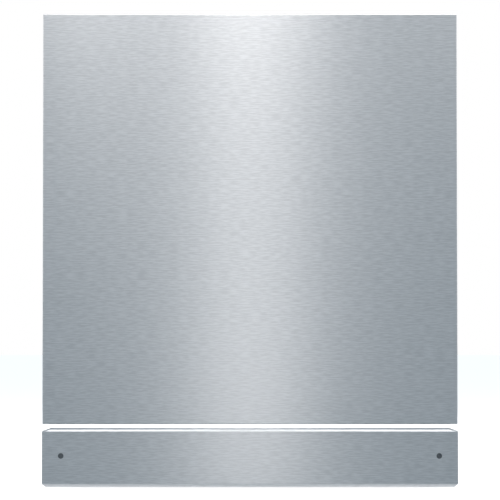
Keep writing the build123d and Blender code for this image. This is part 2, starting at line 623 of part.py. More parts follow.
def mains_terminal_box():
    """Terminal box with the appliance inlet for the mains lead."""
    box = slab(-28.0, 48.0, 222.0, 276.0, 42.0, 98.0)
    box = fillet(box.edges().filter_by(Axis.Y), 4.0)
    box -= slab(-8.0, 28.0, 256.0, 277.0, 58.0, 82.0)
    pins = [slab(x, x + 2.0, 255.0, 270.0, 66.0, 72.0) for x in (0.0, 9.0, 18.0)]
    return fused([box, *pins])


def spray_feed_pipe():
    """Flat pipe from the hub along the floor, up the rear wall and over the ceiling, with a shower head."""
    z0 = FLOOR_Z + 0.6
    neck = slab(-8.0, 8.0, 25.2, 32.0, z0, z0 + 3.4)
    low = slab(-13.0, 13.0, 32.0, 254.0, z0, z0 + 7.4)
    rise = slab(-13.0, 13.0, 242.0, 254.0, z0, 640.0)
    dock = rod_y(0, 236.0, 243.0, DOCK_Z, 9.0)
    over = slab(-11.0, 11.0, ARM_Y, 254.0, 632.0, 642.0)
    head = post(0, ARM_Y, 618.0, 642.0, 30.0)
    head = chamfer(head.faces().sort_by(Axis.Z)[0].edges(), 8.0)
    return fused([neck, low, rise, dock, over, head])


DOCK_Z = 449.0


# ---------------------------------------------------------------- spray arms
def spray_arm(z0, thickness, nozzles):
    """Two curved wings round a hub, with a line of nozzles in each wing."""
    root, tip, reach = 24.0, 13.0, ARM_REACH
    edge = [(0, root), (reach * 0.55, root * 0.86), (reach - tip, tip)]
    upper = Spline(*edge)
    lower = Spline(*[(x, -y) for x, y in edge])
    end = ThreePointArc((reach - tip, tip), (reach, 0), (reach - tip, -tip))
    back = Line((0, root), (0, -root))
    wing = extrude(make_face([upper, end, lower, back]), amount=thickness)
    wing = Pos(0, ARM_Y, z0) * (wing + Rot(0, 0, 180) * wing)
    hub = post(0, ARM_Y, z0 - 3.0, z0 + thickness + 3.0, 20.0)
    arm = wing + hub - post(0, ARM_Y, z0 - 4, z0 + thickness - 1.0, HUB_BORE_R)
    arm -= post(0, ARM_Y, z0, z0 + thickness + 4, HUB_BORE_R)
    for x in nozzles:
        for sign in (-1, 1):
            arm -= post(sign * x, ARM_Y + sign * 5.0, z0 - 1, z0 + thickness + 1, 1.5)
    return arm


def lower_spray_arm():
    """Lower arm, turning on the sump's hub tower."""
    return spray_arm(148.5, 9.0, spread(50.0, 190.0, 5))


UPPER_ARM_Z = 434.0


def upper_spray_arm():
    """Upper arm, turning on the feed pipe under the upper rack."""
    return spray_arm(UPPER_ARM_Z, 8.0, spread(50.0, 190.0, 5))


def upper_arm_feed():
    """Pipe under the upper rack from its docking mouth to the arm's spindle and retaining cap."""
    pipe = slab(-12.0, 12.0, ARM_Y - 14.0, 234.0, 447.0, 456.0)
    mouth = rod_y(0, 228.0, 235.0, DOCK_Z, 8.5)
    spindle = post(0, ARM_Y, UPPER_ARM_Z - 6.5, 450.0, HUB_R)
    cap = post(0, ARM_Y, UPPER_ARM_Z - 8.5, UPPER_ARM_Z - 3.6, 17.0)
    return fused([pipe, mouth, spindle, cap])


# ---------------------------------------------------------------- racks
def grid(u0, u1, v0, v1, us, vs, place):
    """Bars across a rectangle, along v at each u and along u at each v. place(u0, u1, v0, v1) makes a bar."""
    h = WIRE / 2
    bars = [place(u - h, u + h, v0, v1) for u in us]
    bars += [place(u0, u1, v - h, v + h) for v in vs]
    return fused(bars)


def basket(x, y0, y1, z0, z1, bars_x, bars_y, dip):
    """Wire basket as five flat grids: floor, left, right, front and rear. The front is lower by dip."""
    h = WIRE / 2

    def flat(a0, a1, b0, b1):
        return slab(a0, a1, b0, b1, z0, z0 + WIRE)

    def across(y):
        return lambda a0, a1, b0, b1: slab(a0, a1, y - h, y + h, b0, b1)

    def along(px):
        return lambda a0, a1, b0, b1: slab(px - h, px + h, a0, a1, b0, b1)

    xs = spread(-x + h, x - h, bars_x)
    ys = spread(y0 + h, y1 - h, bars_y)
    base = z0 + WIRE
    floor = grid(-x, x, y0, y1, xs, ys, flat)
    rims = (base + h, (base + z1) / 2, z1 - h)
    sides = [grid(y0, y1, base, z1, ys, rims, along(px)) for px in (-x + h, x - h)]
    inner = xs[1:-1]
    reach = x - WIRE - 0.2
    ends = []
    for y, drop in ((y0 + h, dip), (y1 - h, 0.0)):
        heights = (base + h, (base + z1 - drop) / 2, z1 - drop - h)
        ends.append(grid(-reach, reach, base, z1 - drop, inner, heights, across(y)))
    return [floor, *sides, *ends]


def tine_comb(x, z, height, ys):
    """A rod along Y with upright tines, made as one piece."""
    h = WIRE / 2
    rod = slab(x - h, x + h, ys[0] - 8.0, ys[-1] + 8.0, z, z + WIRE)
    return fused([rod] + [slab(x - h, x + h, y - h, y + h, z, z + height) for y in ys])


TINE_YS = spread(-170.0, 200.0, 12)
LOW_TINE_Z, LOW_TINE_H = LOW_Z0 + WIRE, 78.0
FIXED_TINES = (-195.0, -90.0)
FOLDING_TINES = {"tine_row_left": 15.0, "tine_row_right": 115.0}
TINE_GAP = 1.0


def lower_rack_basket():
    """Lower basket with two fixed rows of tines."""
    shell = basket(LOW_X, LOW_Y0, LOW_Y1, LOW_Z0, LOW_Z1, 13, 12, 34.0)
    rows = [tine_comb(x, LOW_TINE_Z, LOW_TINE_H, TINE_YS) for x in FIXED_TINES]
    return shell + rows


def folding_tines(x):
    """A row of tines that folds flat to the left about its own rod."""
    return tine_comb(x, LOW_TINE_Z + TINE_GAP, LOW_TINE_H, TINE_YS)


def lower_rack_axles():
    """Wheel brackets clipped on the lower basket's sides, each with its stub axle."""
    found = []
    for y in WHEEL_YS:
        plate = side_plate(
            [(y - 22.0, LOW_Z0 + 20.0), (y - 10.0, 162.0), (y + 10.0, 162.0), (y + 22.0, LOW_Z0 + 20.0)],
            LOW_X,
            LOW_X + 3.0,
        )
        axle = rod_x(LOW_X, WHEEL_X + WHEEL_W / 2 + 1.0, y, LEDGE_Z + WHEEL_R, 3.0)
        found += pair(plate + axle)
    return found


def wheel_pair(y):
    """Left and right wheel on one axis, with a running fit on their stub axles."""
    z = LEDGE_Z + WHEEL_R
    wheel = rod_x(WHEEL_X - WHEEL_W / 2, WHEEL_X + WHEEL_W / 2, y, z, WHEEL_R - 0.3)
    wheel = fillet(wheel.edges().filter_by(GeomType.CIRCLE), 1.5)
    return pair(wheel - rod_x(WHEEL_X - 9, WHEEL_X + 9, y, z, 3.05))


BASKET_X0, BASKET_X1, BASKET_Y0, BASKET_Y1 = 152.0, 230.0, -188.0, 30.0
BASKET_Z0, BASKET_Z1 = LOW_Z0 + WIRE + 0.4, 306.0


def cutlery_basket():
    """Open plastic basket with four compartments, slotted walls and a carrying bow."""
    w = 2.4
    x0, x1, y0, y1, z0, z1 = BASKET_X0, BASKET_X1, BASKET_Y0, BASKET_Y1, BASKET_Z0, BASKET_Z1
    box = slab(x0, x1, y0, y1, z0, z1) - slab(x0 + w, x1 - w, y0 + w, y1 - w, z0 + w, z1 + 1)
    walls = [slab(x0, x1, y - w / 2, y + w / 2, z0, z1) for y in spread(y0, y1, 5)[1:-1]]
    middle = (x0 + x1) / 2
    box = fused([box, *walls])
    for y in spread(y0 + 12.0, y1 - 22.0, 12):
        if all(abs(y + 5.0 - wall) > 8.0 for wall in spread(y0, y1, 5)):
            box -= slab(x0 - 1, x1 + 1, y, y + 10.0, z0 + 14.0, z1 - 30.0)
    bow = [
        slab(middle - 4, middle + 4, y0 + 50.0, y0 + 54.5, z1 - 12.0, z1 + 24.0),
        slab(middle - 4, middle + 4, y1 - 54.5, y1 - 50.0, z1 - 12.0, z1 + 24.0),
        slab(middle - 4, middle + 4, y0 + 50.0, y1 - 50.0, z1 + 20.0, z1 + 25.0),
    ]
    return fused([box, *bow])


def upper_rack_basket():
    """Upper basket with two rows of short tines."""
    shell = basket(UP_X, UP_Y0, UP_Y1, UP_Z0, UP_Z1, 13, 12, 24.0)
    rows = [tine_comb(x, UP_Z0 + WIRE, 44.0, TINE_YS) for x in (-85.0, 85.0)]
    return shell + rows


def upper_fixed_rails():
    """C rails on the tub's side walls."""
    x0, x1, h, t = 261.0, TUB_X, 16.0, 1.5
    rail = slab(x0, x1, -205.0, 236.0, RAIL_Z - h, RAIL_Z + h)
    rail -= slab(x0 + t, x1 - t, -206.0, 237.0, RAIL_Z - h + t, RAIL_Z + h - t)
    return pair(rail - slab(x0 - 1, x0 + t + 1, -206.0, 237.0, RAIL_Z - 9.0, RAIL_Z + 9.0))


def upper_rack_runners():
    """Runners on the upper rack's sides, which slide in the C rails."""
    slot = slab(263.2, 269.8, -203.0, 228.0, RAIL_Z - 12.0, RAIL_Z + 12.0)
    web = slab(UP_X, 263.2, -203.0, 228.0, RAIL_Z - 7.0, RAIL_Z + 7.0)
    return pair(slot + web)


SHELF_X, SHELF_Z, SHELF_W = 240.0, 528.0, 78.0


def cup_shelf_left():
    """Cup shelf of wire, folded up against the upper basket's left side."""
    h = WIRE / 2
    x, y0, y1 = -SHELF_X, -150.0, 170.0

    def upright(a0, a1, b0, b1):
        return slab(x - h, x + h, a0, a1, b0, b1)

    ys = spread(y0 + h, y1 - h, 10)
    return grid(y0, y1, SHELF_Z, SHELF_Z + SHELF_W, ys, (SHELF_Z + h, SHELF_Z + SHELF_W - h), upright)


# ---------------------------------------------------------------- write the nodes
def main():
    """Writes every node to parts/."""
    os.makedirs("parts", exist_ok=True)
    single = [
        door_panel_skin, door_panel_core, plinth_panel, plinth_seal, plinth_screws, plinth_brackets,
        panel_slide_rails, door_outer_shell, door_liner, door_insulation, hinge_arms,
        hinge_brackets, door_springs, control_housing, display_lens, latch_hook, door_strike,
        dispenser_body, detergent_lid, rinse_aid_cap,
        tub_wrapper, tub_rear_wall, tub_floor, tub_gasket, side_panels, rear_cover, top_rail,
        tub_insulation, base_tray, sump, fine_filter, filter_cylinder, water_softener, salt_cap,
        circulation_pump, drain_pump, drain_hose, water_inlet_valve, mains_terminal_box,
        spray_feed_pipe, lower_spray_arm, upper_spray_arm, upper_arm_feed,
        lower_rack_basket, lower_rack_axles, cutlery_basket,
        upper_rack_basket, upper_fixed_rails, upper_rack_runners, cup_shelf_left,
    ]
    for make in single:
        save(make.__name__, make())
    for name, x in BUTTONS.items():
        save(name, button(x))
    for name, x in FOLDING_TINES.items():
        save(name, folding_tines(x))
    for name, y in zip(("wheels_front", "wheels_rear"), WHEEL_YS):
        save(name, wheel_pair(y))
    save("foot_front_left", foot(-FOOT_X, FOOT_FRONT_Y))
    save("foot_front_right", foot(FOOT_X, FOOT_FRONT_Y))
    save("feet_rear", foot(-FOOT_X, FOOT_REAR_Y), foot(FOOT_X, FOOT_REAR_Y))


main()
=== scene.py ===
"""Looks for the built-in dishwasher: wire racks, spray arms, seals, fittings, materials and the studio.

Lengths are millimetres in the row frame, and MM turns them into Blender's metres.
The door front faces -Y, +Z is up, and the machine stands on z = 0.
"""

import math

import bmesh
import bpy
from mathutils import Matrix, Vector


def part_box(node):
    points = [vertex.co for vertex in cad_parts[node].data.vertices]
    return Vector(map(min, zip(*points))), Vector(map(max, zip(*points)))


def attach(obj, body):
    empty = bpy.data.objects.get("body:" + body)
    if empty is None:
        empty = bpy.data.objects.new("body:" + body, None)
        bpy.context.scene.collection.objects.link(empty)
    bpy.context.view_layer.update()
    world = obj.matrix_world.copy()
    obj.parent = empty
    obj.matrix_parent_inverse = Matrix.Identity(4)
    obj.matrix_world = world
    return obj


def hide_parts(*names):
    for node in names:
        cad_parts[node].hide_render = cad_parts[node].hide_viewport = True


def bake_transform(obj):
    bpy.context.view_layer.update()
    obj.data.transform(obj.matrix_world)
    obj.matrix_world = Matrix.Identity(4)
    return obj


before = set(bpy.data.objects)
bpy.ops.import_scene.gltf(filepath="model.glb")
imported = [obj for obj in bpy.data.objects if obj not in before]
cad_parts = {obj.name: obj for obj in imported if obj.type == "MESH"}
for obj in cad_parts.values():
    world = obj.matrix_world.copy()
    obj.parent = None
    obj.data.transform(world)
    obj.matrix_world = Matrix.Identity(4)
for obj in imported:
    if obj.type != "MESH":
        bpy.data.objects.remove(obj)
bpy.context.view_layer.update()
MM = 0.001


# ---------------------------------------------------------------- mesh helpers
def point(*xyz):
    """A point in metres from millimetres."""
    return Vector(xyz) * MM


def spread(low, high, count):
    """Evenly spaced values from low to high."""
    return [low + (high - low) * i / (count - 1) for i in range(count)]


def turns(count):
    """Evenly spaced angles once round."""
    return [math.tau * k / count for k in range(count)]


def polar(centre, radius, angle):
    """The two coordinates of a point at a radius and an angle from a centre."""
    return centre[0] + radius * math.cos(angle), centre[1] + radius * math.sin(angle)


def ease(t):
    """A smooth step from 0 to 1."""
    t = min(max(t, 0.0), 1.0)
    return t * t * (3 - 2 * t)


def corners(node):
    """Lowest and highest corner of a CAD node, in millimetres."""
    low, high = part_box(node)
    return low / MM, high / MM


def round_plan(node):
    """Middle (x, y) and radius of a round, upright CAD node."""
    low, high = corners(node)
    return ((low.x + high.x) / 2, (low.y + high.y) / 2), (high.x - low.x) / 2


def add_box(bm, low, high):
    """A box between two corners."""
    low, high = point(*low), point(*high)
    place = Matrix.Translation((low + high) / 2) @ Matrix.Diagonal((*(high - low), 1))
    bmesh.ops.create_cube(bm, size=1.0, matrix=place)


def add_prism(bm, outline, low, high, axis):
    """An outline drawn across an axis and carried along it from low to high."""
    place = {
        "X": lambda u, v, w: point(w, u, v),
        "Y": lambda u, v, w: point(u, w, v),
    }[axis]
    near = [bm.verts.new(place(u, v, low)) for u, v in outline]
    far = [bm.verts.new(place(u, v, high)) for u, v in outline]
    bm.faces.new(near)
    bm.faces.new(far)
    for i in range(len(outline)):
        bm.faces.new((near[i - 1], near[i], far[i], far[i - 1]))


def add_rings(bm, rings, closed=False):
    """Faces between rings of points, all of one length. A ring of one point closes to a tip."""
    made = [[bm.verts.new(p) for p in ring] for ring in rings]
    pairs = list(zip(made, made[1:]))
    if closed:
        pairs.append((made[-1], made[0]))
    for a, b in pairs:
        count = max(len(a), len(b))
        for i in range(count):
            j = (i + 1) % count
            corner = [a[i % len(a)], a[j % len(a)], b[j % len(b)], b[i % len(b)]]
            unique = list(dict.fromkeys(corner))
            if len(unique) > 2:
                bm.faces.new(unique)
    return made


def add_bar(bm, rings):
    """Rings joined by faces, with a face at each end."""
    made = add_rings(bm, rings)
    bm.faces.new(made[0])
    bm.faces.new(made[-1])


def add_lathe(bm, centre, profile, axis, segments):
    """A turned shape. The profile lists (radius, place along the axis) from end to end."""
    centre = Vector(centre)
    turn = {
        "X": lambda r, h, a: (h, r * math.cos(a), r * math.sin(a)),
        "Y": lambda r, h, a: (r * math.cos(a), h, r * math.sin(a)),
        "Z": lambda r, h, a: (r * math.cos(a), r * math.sin(a), h),
    }[axis]
    rings = []
    for radius, height in profile:
        angles = turns(segments) if radius > 0 else [0.0]
        rings.append([(centre + Vector(turn(radius, height, a))) * MM for a in angles])
    add_rings(bm, rings)


def rounded(points, radius, steps=5, closed=False):
    """A path with its corners turned into arcs."""
    points = [Vector(p) for p in points]
    found = []
    for i, corner in enumerate(points):
        if not closed and i in (0, len(points) - 1):
            found.append(corner)
            continue
        before, after = points[i - 1] - corner, points[(i + 1) % len(points)] - corner
        turn = math.pi - before.angle(after)
        if turn < 0.02:
            found.append(corner)
            continue
        cut = min(radius * math.tan(turn / 2), 0.49 * before.length, 0.49 * after.length)
        start, end = corner + before.normalized() * cut, corner + after.normalized() * cut
        for s in range(steps + 1):
            t = s / steps
            found.append(start * (1 - t) ** 2 + corner * 2 * t * (1 - t) + end * t * t)
    return found


def add_tube(bm, path, radius, sides=8, closed=False):
    """A round wire along a path, with domed ends."""
    path = [Vector(p) for p in path]
    count = len(path)
    dome = [(radius * 0.98, radius * 0.1), (radius * 0.72, radius * 0.68)]
    up, rings = None, []

    def ring(at, size):
        return [(at + (up * math.cos(a) + side * math.sin(a)) * size) * MM for a in turns(sides)]

    for i, centre in enumerate(path):
        before = path[i - 1] if i or closed else centre
        after = path[(i + 1) % count] if i + 1 < count or closed else centre
        along = (after - before).normalized()
        up = along.orthogonal() if up is None else up - along * up.dot(along)
        up.normalize()
        side = along.cross(up)
        if i == 0 and not closed:
            rings.append([(centre - along * radius) * MM])
            rings += [ring(centre - along * out, size) for out, size in dome]
        rings.append(ring(centre, radius))
        if i == count - 1 and not closed:
            rings += [ring(centre + along * out, size) for out, size in reversed(dome)]
            rings.append([(centre + along * radius) * MM])
    add_rings(bm, rings, closed=closed)


def add_strip(bm, path, profile):
    """A profile of (sideways, outward) points carried along a path in an XZ plane. Outward is -Y."""
    path = [Vector(p) for p in path]
    outward = Vector((0, -1, 0))
    rings = []
    for i, centre in enumerate(path):
        before, after = path[max(i - 1, 0)], path[min(i + 1, len(path) - 1)]
        side = (after - before).normalized().cross(outward)
        rings.append([(centre + side * s + outward * o) * MM for s, o in profile])
    add_bar(bm, rings)


def finish_piece(name, bm, mat, body=None, nodes=(), bevel=0.0, crease=40):
    """Turns a bmesh into a smooth-shaded piece, on a body if one is given. The bevel is in millimetres."""
    bmesh.ops.recalc_face_normals(bm, faces=bm.faces)
    mesh = bpy.data.meshes.new(name)
    bm.to_mesh(mesh)
    bm.free()
    for face in mesh.polygons:
        face.use_smooth = True
    mesh.set_sharp_from_angle(angle=math.radians(crease))
    mesh.materials.append(mat)
    piece = bpy.data.objects.new(name, mesh)
    bpy.context.scene.collection.objects.link(piece)
    if bevel:
        soft = piece.modifiers.new("soft_edges", "BEVEL")
        soft.width, soft.segments, soft.limit_method = bevel * MM, 2, "ANGLE"
        soft.angle_limit = math.radians(35)
    if body:
        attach(piece, body)
    if nodes:
        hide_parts(*nodes)
    return piece


# ---------------------------------------------------------------- material helpers
def socket(mat, name):
    """An input of the material's Principled shader."""
    return mat.node_tree.nodes["Principled BSDF"].inputs[name]


def material(name, color, roughness, metallic=0.0, **sockets):
    """A Principled material. Further sockets are named with underscores for spaces."""
    mat = bpy.data.materials.new(name)
    mat.use_nodes = True
    socket(mat, "Base Color").default_value = (*color, 1.0)
    socket(mat, "Roughness").default_value = roughness
    socket(mat, "Metallic").default_value = metallic
    for key, value in sockets.items():
        socket(mat, key.replace("_", " ")).default_value = value
    return mat


def add_node(mat, kind, **inputs):
    """A node with some of its inputs set."""
    node = mat.node_tree.nodes.new(kind)
    for key, value in inputs.items():
        node.inputs[key].default_value = value
    return node


def join(mat, output, entry):
    """Links an output to an input."""
    mat.node_tree.links.new(output, entry)


def coordinates(mat, stretch=(1, 1, 1)):
    """The piece's own coordinates in metres, stretched along each axis."""
    place = add_node(mat, "ShaderNodeTexCoord")
    size = add_node(mat, "ShaderNodeMapping", Scale=stretch)
    join(mat, place.outputs["Object"], size.inputs["Vector"])
    return size.outputs["Vector"]


def noise(mat, scale, stretch=(1, 1, 1), detail=3.0, rough=0.55):
    """Grey noise with about scale features in a metre."""
    texture = add_node(mat, "ShaderNodeTexNoise", Scale=scale, Detail=detail, Roughness=rough)
    join(mat, coordinates(mat, stretch), texture.inputs["Vector"])
    return texture.outputs["Fac"]


def cells(mat, scale, output="Color", randomness=1.0):
    """Cell pattern, as in zinc flowers, or a regular grid of dots without randomness."""
    texture = add_node(mat, "ShaderNodeTexVoronoi", Scale=scale, Randomness=randomness)
    join(mat, coordinates(mat), texture.inputs["Vector"])
    return texture.outputs[output]


def mixed(mat, first, second, share):
    """Two grey patterns mixed."""
    blend = mat.node_tree.nodes.new("ShaderNodeMix")
    blend.inputs["Factor"].default_value = share
    join(mat, first, blend.inputs["A"])
    join(mat, second, blend.inputs["B"])
    return blend.outputs["Result"]


def tint(mat, grey, dark, light, low=0.3, high=0.7):
    """Base colour from dark to light over a grey pattern."""
    ramp = mat.node_tree.nodes.new("ShaderNodeValToRGB")
    ramp.color_ramp.elements[0].position, ramp.color_ramp.elements[1].position = low, high
    ramp.color_ramp.elements[0].color, ramp.color_ramp.elements[1].color = (*dark, 1), (*light, 1)
    join(mat, grey, ramp.inputs["Fac"])
    join(mat, ramp.outputs["Color"], socket(mat, "Base Color"))


def roughen(mat, grey, low, high):
    """Roughness from low to high over a grey pattern."""
    scale = mat.node_tree.nodes.new("ShaderNodeMapRange")
    scale.inputs["From Min"].default_value, scale.inputs["From Max"].default_value = 0.3, 0.7
    scale.inputs["To Min"].default_value, scale.inputs["To Max"].default_value = low, high
    join(mat, grey, scale.inputs["Value"])
    join(mat, scale.outputs["Result"], socket(mat, "Roughness"))


def bump(mat, grey, strength, depth):
    """Fine relief from a grey pattern, with its depth in millimetres."""
    relief = add_node(mat, "ShaderNodeBump", Strength=strength, Distance=depth * MM)
    join(mat, grey, relief.inputs["Height"])
    join(mat, relief.outputs["Normal"], socket(mat, "Normal"))


def scaled(color, factor):
    """A colour made darker or lighter."""
    return tuple(min(c * factor, 1.0) for c in color)


def brushed_metal(name, color, roughness, streaks, hairs, contrast=0.05, aniso=0.0, turn=0.0, glow=0.0):
    """Metal with short streaks over long hairlines.

    Each stretch is small along the grain and large across it.
    """
    # glow is emission, painted light; only the highlight steel uses it
    painted_glow = {"Emission_Color": (1, 1, 1, 1), "Emission_Strength": glow}
    mat = material(name, color, roughness, 1.0, Anisotropic=aniso, Anisotropic_Rotation=turn, **painted_glow)
    short = noise(mat, 1.0, streaks, 2.0, 0.5)
    long = noise(mat, 1.0, hairs, 4.0, 0.65)
    grain = mixed(mat, short, long, 0.3)
    tint(mat, grain, scaled(color, 1 - contrast), scaled(color, 1 + contrast), 0.42, 0.58)
    roughen(mat, grain, roughness * 0.92, roughness * 1.08)
    if aniso:
        tangent = mat.node_tree.nodes.new("ShaderNodeTangent")
        tangent.direction_type, tangent.axis = "RADIAL", "Z"
        join(mat, tangent.outputs["Tangent"], socket(mat, "Tangent"))
    return mat


def moulded(name, color, roughness, texture=1400.0, strength=0.18, glow=0.0):
    """Moulded plastic or rubber with a fine spark-eroded grain and faint flow marks."""
    # glow is emission, painted light; only the seal's rubber uses it
    mat = material(name, color, roughness, Emission_Color=(1, 1, 1, 1), Emission_Strength=glow)
    grain = noise(mat, texture, detail=2.0)
    flow = noise(mat, 9.0, detail=2.0)
    tint(mat, flow, scaled(color, 0.95), scaled(color, 1.04))
    roughen(mat, mixed(mat, flow, grain, 0.5), roughness * 0.9, min(roughness * 1.12, 1.0))
    bump(mat, grain, strength, 0.05)
    return mat


def zinc_sheet():
    """Galvanised sheet with faint zinc flowers."""
    base = (0.56, 0.585, 0.60)
    mat = material("zinc_sheet", base, 0.42, 0.85)
    flowers, haze = cells(mat, 75.0), noise(mat, 5.0, detail=4.0)
    pattern = mixed(mat, flowers, haze, 0.6)
    tint(mat, pattern, scaled(base, 0.9), scaled(base, 1.1), 0.25, 0.75)
    roughen(mat, pattern, 0.34, 0.52)
    bump(mat, noise(mat, 350.0, detail=2.0), 0.08, 0.05)
    return mat


def felt():
    """Pale non-woven blanket with fine flecks and loose fibres."""
    mat = material("felt", (0.6, 0.59, 0.57), 0.95, Sheen_Weight=0.3, Sheen_Roughness=0.6)
    fibres = noise(mat, 900.0, (1.0, 0.3, 1.0), 4.0, 0.7)
    flecks = noise(mat, 260.0, detail=3.0)
    tint(mat, mixed(mat, fibres, flecks, 0.5), (0.34, 0.335, 0.325), (0.60, 0.59, 0.57), 0.3, 0.7)
    bump(mat, fibres, 0.5, 0.3)
    return mat


def chipboard():
    """Raw chipboard of flat wood chips."""
    mat = material("chipboard", (0.55, 0.42, 0.28), 0.85)
    chips = cells(mat, 420.0)
    tint(mat, mixed(mat, chips, noise(mat, 60.0), 0.3), (0.34, 0.23, 0.13), (0.70, 0.56, 0.38), 0.2, 0.8)
    bump(mat, chips, 0.4, 0.2)
    return mat


def perforated_steel():
    """Filter sheet with rows of small punched holes, painted as near-black dots: painted shade in place of
    openings.
    """
    mat = material("perforated_steel", (0.62, 0.63, 0.64), 0.34, 1.0)
    holes = cells(mat, 330.0, "Distance", 0.0)
    # near-black dots: painted shade where the holes are
    tint(mat, holes, (0.04, 0.04, 0.045), (0.62, 0.63, 0.64), 0.26, 0.32)
    bump(mat, holes, 0.4, 0.2)
    return mat


def cast_metal():
    """Sand-grained aluminium housing."""
    mat = material("cast_metal", (0.52, 0.53, 0.54), 0.5, 0.9)
    grain = noise(mat, 600.0, detail=3.0)
    tint(mat, grain, (0.44, 0.45, 0.46), (0.58, 0.59, 0.60))
    roughen(mat, grain, 0.42, 0.6)
    bump(mat, grain, 0.35, 0.1)
    return mat


def bitumen():
    """Dark damping mat with a crumpled skin."""
    mat = material("bitumen", (0.035, 0.034, 0.033), 0.7)
    crumple = noise(mat, 45.0, detail=5.0)
    tint(mat, crumple, (0.02, 0.02, 0.02), (0.06, 0.058, 0.055))
    bump(mat, crumple, 0.6, 0.8)
    return mat


def even(value):
    """The same stretch along each axis, or a grey."""
    return (value, value, value)


FRONT_COLOR = (0.69, 0.70, 0.715)
TUB_COLOR = (0.76, 0.77, 0.78)
# the door front's brushing: streaks, hairlines, contrast, anisotropy and its turn
FRONT_GRAIN = ((68.0, 68.0, 620.0), (5.0, 700.0, 1100.0), 0.072, 0.8, 0.25)
front_steel = brushed_metal("front_steel", FRONT_COLOR, 0.30, *FRONT_GRAIN)
# a lighter, faintly glowing copy of the front steel: painted highlight for the plinth's folded edges
highlight_steel = brushed_metal("highlight_steel", scaled(FRONT_COLOR, 1.32), 0.30, *FRONT_GRAIN, glow=0.1)
GRAIN_ALONG_Z = ((1400.0, 1400.0, 25.0), (2200.0, 2200.0, 8.0))
GRAIN_ALONG_Y = ((1400.0, 25.0, 1400.0), (2200.0, 8.0, 2200.0))
tub_steel = brushed_metal("tub_steel", TUB_COLOR, 0.25, *GRAIN_ALONG_Z, 0.02)
floor_steel = brushed_metal("floor_steel", TUB_COLOR, 0.25, *GRAIN_ALONG_Y, 0.02)
bracket_steel = brushed_metal("bracket_steel", (0.60, 0.62, 0.64), 0.38, even(60.0), even(220.0))
spring_steel = brushed_metal("spring_steel", (0.36, 0.37, 0.38), 0.34, even(90.0), even(300.0), 0.08)
screw_steel = brushed_metal("screw_steel", (0.16, 0.17, 0.18), 0.42, even(150.0), even(500.0), 0.12)
zinc = zinc_sheet()
perforated = perforated_steel()
cast = cast_metal()
board = chipboard()
blanket_felt = felt()
mat_bitumen = bitumen()
base_plastic = moulded("base_plastic", (0.44, 0.45, 0.46), 0.5)
black_plastic = moulded("black_plastic", (0.016, 0.017, 0.019), 0.3, 1800.0, 0.08)
button_plastic = moulded("button_plastic", (0.22, 0.23, 0.24), 0.28, 1800.0, 0.05)
lens_plastic = moulded("lens_plastic", (0.008, 0.009, 0.013), 0.08, 1800.0, 0.0)
grey_plastic = moulded("grey_plastic", (0.36, 0.385, 0.41), 0.42)
pale_plastic = moulded("pale_plastic", (0.68, 0.70, 0.71), 0.4)
dark_plastic = moulded("dark_plastic", (0.045, 0.048, 0.052), 0.48)
blue_plastic = moulded("blue_plastic", (0.05, 0.16, 0.36), 0.38)
wire_coat = moulded("wire_coat", (0.40, 0.42, 0.45), 0.3, 2500.0, 0.06)
gasket_rubber = moulded("gasket_rubber", (0.03, 0.031, 0.033), 0.62, 900.0, 0.25)
# the seal's rubber glows though it is no lamp: painted light that keeps the gap under the door white
pale_rubber = moulded("pale_rubber", (0.92, 0.92, 0.92), 0.6, 900.0, 0.1, glow=1.4)

NODE_MATERIALS = {
    "door_panel_skin": front_steel, "plinth_panel": front_steel, "door_panel_core": board,
    "plinth_seal": pale_rubber, "plinth_screws": screw_steel, "plinth_brackets": bracket_steel,
    "panel_slide_rails": bracket_steel, "door_outer_shell": zinc, "door_liner": tub_steel,
    "door_insulation": mat_bitumen, "hinge_arms": bracket_steel, "hinge_brackets": bracket_steel,
    "control_housing": black_plastic, "display_lens": lens_plastic, "latch_hook": dark_plastic,
    "door_strike": bracket_steel, "dispenser_body": grey_plastic, "detergent_lid": pale_plastic,
    "rinse_aid_cap": blue_plastic, "tub_wrapper": tub_steel, "tub_rear_wall": tub_steel,
    "tub_floor": floor_steel, "side_panels": zinc, "rear_cover": zinc, "top_rail": zinc,
    "base_tray": base_plastic, "sump": grey_plastic, "fine_filter": perforated,
    "filter_cylinder": grey_plastic, "water_softener": pale_plastic, "salt_cap": blue_plastic,
    "circulation_pump": cast, "drain_pump": dark_plastic, "drain_hose": dark_plastic,
    "water_inlet_valve": pale_plastic, "mains_terminal_box": dark_plastic,
    "spray_feed_pipe": grey_plastic, "upper_arm_feed": grey_plastic, "lower_rack_axles": grey_plastic,
    "upper_fixed_rails": tub_steel, "upper_rack_runners": pale_plastic,
    "power_button": button_plastic, "program_button": button_plastic, "start_button": button_plastic,
}


def dress_nodes():
    """Gives every CAD node that stays its material."""
    for node, mat in NODE_MATERIALS.items():
        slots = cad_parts[node].data.materials
        slots.clear()
        slots.append(mat)


# ---------------------------------------------------------------- racks
WIRE_R, RIM_R, ROD_R, TINE_R = 1.6, 2.5, 2.0, 1.9
WELD = 6.0  # from a basket's outside to the middle of its side wires
ROD_LIFT = 6.0  # from a basket's underside to the middle of its rods
LOWER_DIP, UPPER_DIP = 34.0, 24.0  # how far the front rims dip
HOOPS_ACROSS, HOOPS_ALONG = 12, 13
LOWER_TINE, UPPER_TINE = 76.0, 42.0
TINE_YS = spread(-170.0, 200.0, 12)
GRIP_HALF = 62.0  # half of a handle's length


def rim_height(x, half, top, dip):
    """Height of the front rim at x: low in the middle, climbing to the corners."""
    return top - dip * (1 - ease((abs(x) - 0.56 * half) / (0.24 * half)))


